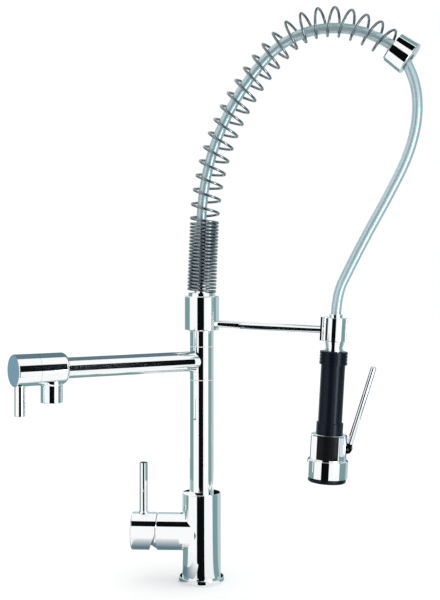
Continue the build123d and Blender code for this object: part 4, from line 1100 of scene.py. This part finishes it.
@dataclass
class Studio:
    """Camera, light, floor and the cards that the chrome mirrors.

    Attributes:
        camera_place: the camera, in metres.
        heading: azimuth of the view, in degrees.
        lens: focal length in millimetres.
        sensor: width of the sensor in millimetres.
        shift: camera shift, x and y.
        floor_size: length of the floor's sides, in metres.
        floor_level: height of the floor, in metres.
        floor_glow: glow of the floor, which only the camera sees.
        cards: the cards.
    """

    camera_place: Point = (0.10828, -1.37575, 0.382)
    heading: float = 4.5
    lens: float = 69.0
    sensor: float = 36.0
    shift: tuple[float, float] = (0.0307, -0.0633)
    floor_size: float = 12.0
    floor_level: float = -0.0002
    floor_glow: float = 0.08
    # The cards are placed for this camera and the part at rest: they don't move with the joints.
    cards: tuple[Card, ...] = (
        # Black towards the camera, for the dark band down the upright cylinders.
        Card.wall("front_wall", (-0.235, -0.545), (0.205, -0.545), (0.0, 1.12), BLACK),
        Card.fan("flange_floor", (FLANGE_EDGE, -96.5, -73.5), (FRONT_EDGE, -100.1, -70.1), BLACK),
        Card.fan("front_floor", (FRONT_EDGE, -106.0, -70.3), (0.58, -113.5, -69.5), BLACK),
        # Round the mixer's side housing.
        Card.wall("mixer_shield", (-0.095, -0.026), (-0.0072, -0.026), (0.0525, 0.0729), WHITE),
        Card.wall("mixer_corner", (-0.026, -0.026), (-0.0072, -0.026), (0.036, 0.0525), WHITE),
        Card.level("mixer_black", (-0.10, -0.005), (-0.075, -0.029), OVER_MIXER, BLACK, side=Side.BELOW),
        Card.level("mixer_white", (-0.10, -0.005), (-0.029, 0.03), OVER_MIXER, WHITE, side=Side.BELOW),
        Card.wall("mixer_back", (-0.095, 0.03), (-0.028, 0.03), (0.075, 0.14), PALE_GREY),
        # Beside, over and under the spout.
        Card.screen("spout_card", (11, 175.3), 20, (-6.5, 8.9), BLACK),
        Card.screen("valve_card", (165, 250), 45.6, (-3, 29), BLACK),
        Card.shelf("arm_shield", (22, 176), (10, 15), -12.5, WHITE, Side.ABOVE),
        Card.shelf("valve_shield", (178, 250), (15.5, 30), -18.5, WHITE, Side.ABOVE),
        Card.shelf("over_spout", (14, 270), (11, -120), OVER_SPOUT, DARK_GREY, Side.BELOW),
        Card.shelf("over_spout_light", (-10, 270), (11, 90), OVER_SPOUT, WHITE, Side.BELOW),
        Card.shelf("under_spout", (40, 260), (9, -64), UNDER_SPOUT, GREEN_GREY, Side.ABOVE),
        Card.wall("knob_card", (-0.2257, -0.094), (-0.2552, -0.142), (0.235, 0.285), BLUE_GREY),
        # On both sides of the column.
        Card.wall("column_left", (-COLUMN_GAP, -0.019), (-COLUMN_GAP, 0.0276), (COLUMN_FOOT, 0.243),
                  GREEN_GREY),
        Card.wall("column_left_light", (-COLUMN_GAP, -0.037), (-COLUMN_GAP, -0.019), (COLUMN_FOOT, 0.243),
                  WHITE),
        Card.wall("column_right", (COLUMN_GAP, -0.0234), (COLUMN_GAP, 0.0054), (COLUMN_FOOT, 0.295),
                  GREEN_GREY),
        # Grey floors and walls to the left, the right and the back.
        Card.fan("left_floor", (FLANGE_EDGE, 191.5, 133.5), (0.90, 191.5, 133.5), GREEN_GREY),
        Card.wall("left_wall", (-0.882, -0.179), (-0.62, 0.653), (0.0, WALL_TOP), GREEN_GREY),
        Card.fan("right_floor", (FLANGE_EDGE, -18.4, 21.8), (0.60, -18.4, 21.8), GREEN_GREY),
        Card.wall("right_wall", (WALL_RIGHT, -0.20), (WALL_RIGHT, 0.24), (0.0, WALL_TOP), GREEN_GREY),
        Card.fan("right_back_floor", (FLANGE_EDGE, 21.8, 90.0), (0.65, 21.8, 90.0), PALE_GREY),
        Card.wall("right_back_wall", (WALL_RIGHT, 0.24), (0.0, 0.9), (0.0, WALL_TOP), PALE_GREY),
        # Under the mixer's side housing.
        Card.level("mixer_fade", (-0.088, -0.026), (-0.112, -0.008), ON_DECK_AT_MIXER, WHITE, DARK_GREY),
        Card.level("mixer_floor", (-0.088, -0.026), (-0.008, 0.03), ON_DECK_AT_MIXER, DARK_GREY),
        # By the bracket rod, round the valve housing and over the arch.
        Card.wall("rod_shield", (0.024, -0.070), (0.140, -0.085), (0.33, 0.40), WHITE),
        Card.wall("housing_left", (0.095, -0.045), (0.095, 0.027), (0.148, 0.176), WHITE),
        Card.wall("housing_right", (0.215, -0.055), (0.215, 0.027), (0.145, 0.176), BLUE_WHITE),
        Card.wall("housing_back", (0.095, 0.027), (0.215, 0.027), (0.140, 0.172), DARK_GREY),
        Card.level("over_arch", (0.06, 0.235), (-0.12, 0.30), OVER_ARCH, GREEN_GREY),
        # Round the spring's collar, from its inner side past the viewer to its outer side.
        Card.strip(-144.7, -95.0, GREEN_GREY),
        Card.strip(-95.0, -38.1, WHITE),
        Card.strip(-38.1, 4.0, BLACK),
        Card.strip(4.0, 31.5, WHITE),
        Card.strip(31.5, 65.3, BLACK),
        Card.strip(70.6, 108.8, GREEN_GREY),
        # The streak on the grip, and the black behind the part.
        Card.wall("grip_light", (0.513, -0.505), (0.633, -0.389), (0.0, 0.6), GLOW),
        Card.wall("back_wall", (-0.25, 1.2), (0.25, 1.2), (0.0, 1.0), BLACK),
    )

    def camera(self) -> None:
        """Stand the camera where the photograph was taken from."""
        data = bpy.data.cameras.new("camera")
        data.lens = self.lens
        data.sensor_width = self.sensor
        data.shift_x, data.shift_y = self.shift
        camera = bpy.data.objects.new("camera", data)
        bpy.context.scene.collection.objects.link(camera)
        camera.location = self.camera_place
        camera.rotation_euler = (math.radians(90), 0.0, math.radians(self.heading))
        bpy.context.scene.camera = camera

    def world(self) -> None:
        """Light the set evenly, white all round."""
        world = bpy.data.worlds.new("studio")
        bpy.context.scene.world = world
        world.use_nodes = True
        world.node_tree.nodes["Background"].inputs["Color"].default_value = (1.0, 1.0, 1.0, 1.0)
        world.node_tree.nodes["Background"].inputs["Strength"].default_value = 1.0

    def floor(self) -> None:
        """Lay the pale floor on the deck's level."""
        bpy.ops.object.select_all(action="DESELECT")
        bpy.ops.mesh.primitive_plane_add(size=self.floor_size, location=(0.0, 0.0, self.floor_level))
        floor = bpy.context.object
        floor.name = "floor"
        material = bpy.data.materials.new("floor")
        material.use_nodes = True
        nodes = material.node_tree.nodes
        links = material.node_tree.links
        shader = nodes["Principled BSDF"]
        shader.inputs["Base Color"].default_value = (1.0, 1.0, 1.0, 1.0)
        shader.inputs["Roughness"].default_value = 1.0
        shader.inputs["Specular IOR Level"].default_value = 0.0
        shader.inputs["Emission Color"].default_value = (1.0, 1.0, 1.0, 1.0)
        seen = nodes.new("ShaderNodeLightPath")
        glow = nodes.new("ShaderNodeMath")
        glow.operation = "MULTIPLY"
        glow.inputs[1].default_value = self.floor_glow
        links.new(seen.outputs["Is Camera Ray"], glow.inputs[0])
        links.new(glow.outputs[0], shader.inputs["Emission Strength"])
        floor.data.materials.append(material)

    def build(self) -> None:
        """Make the whole set."""
        self.camera()
        self.world()
        self.floor()
        for card in self.cards:
            card.build()
        bpy.context.scene.view_settings.view_transform = "Standard"


def main() -> None:
    """Dress the frame, add the springs, the hoses, the painted reflection on the valve housing and the
    set.
    """
    logging.basicConfig(level=logging.INFO)
    finishes = Finishes()
    finishes.dress_frame()
    for part in (ArchSpring(), SpringHose(), HangingHose(), PlungerSpring(), HousingPaintedReflection()):
        piece = part.build(finishes)
        log.info("built %s", piece.name)
    Studio().build()


if __name__ == "__main__":
    main()
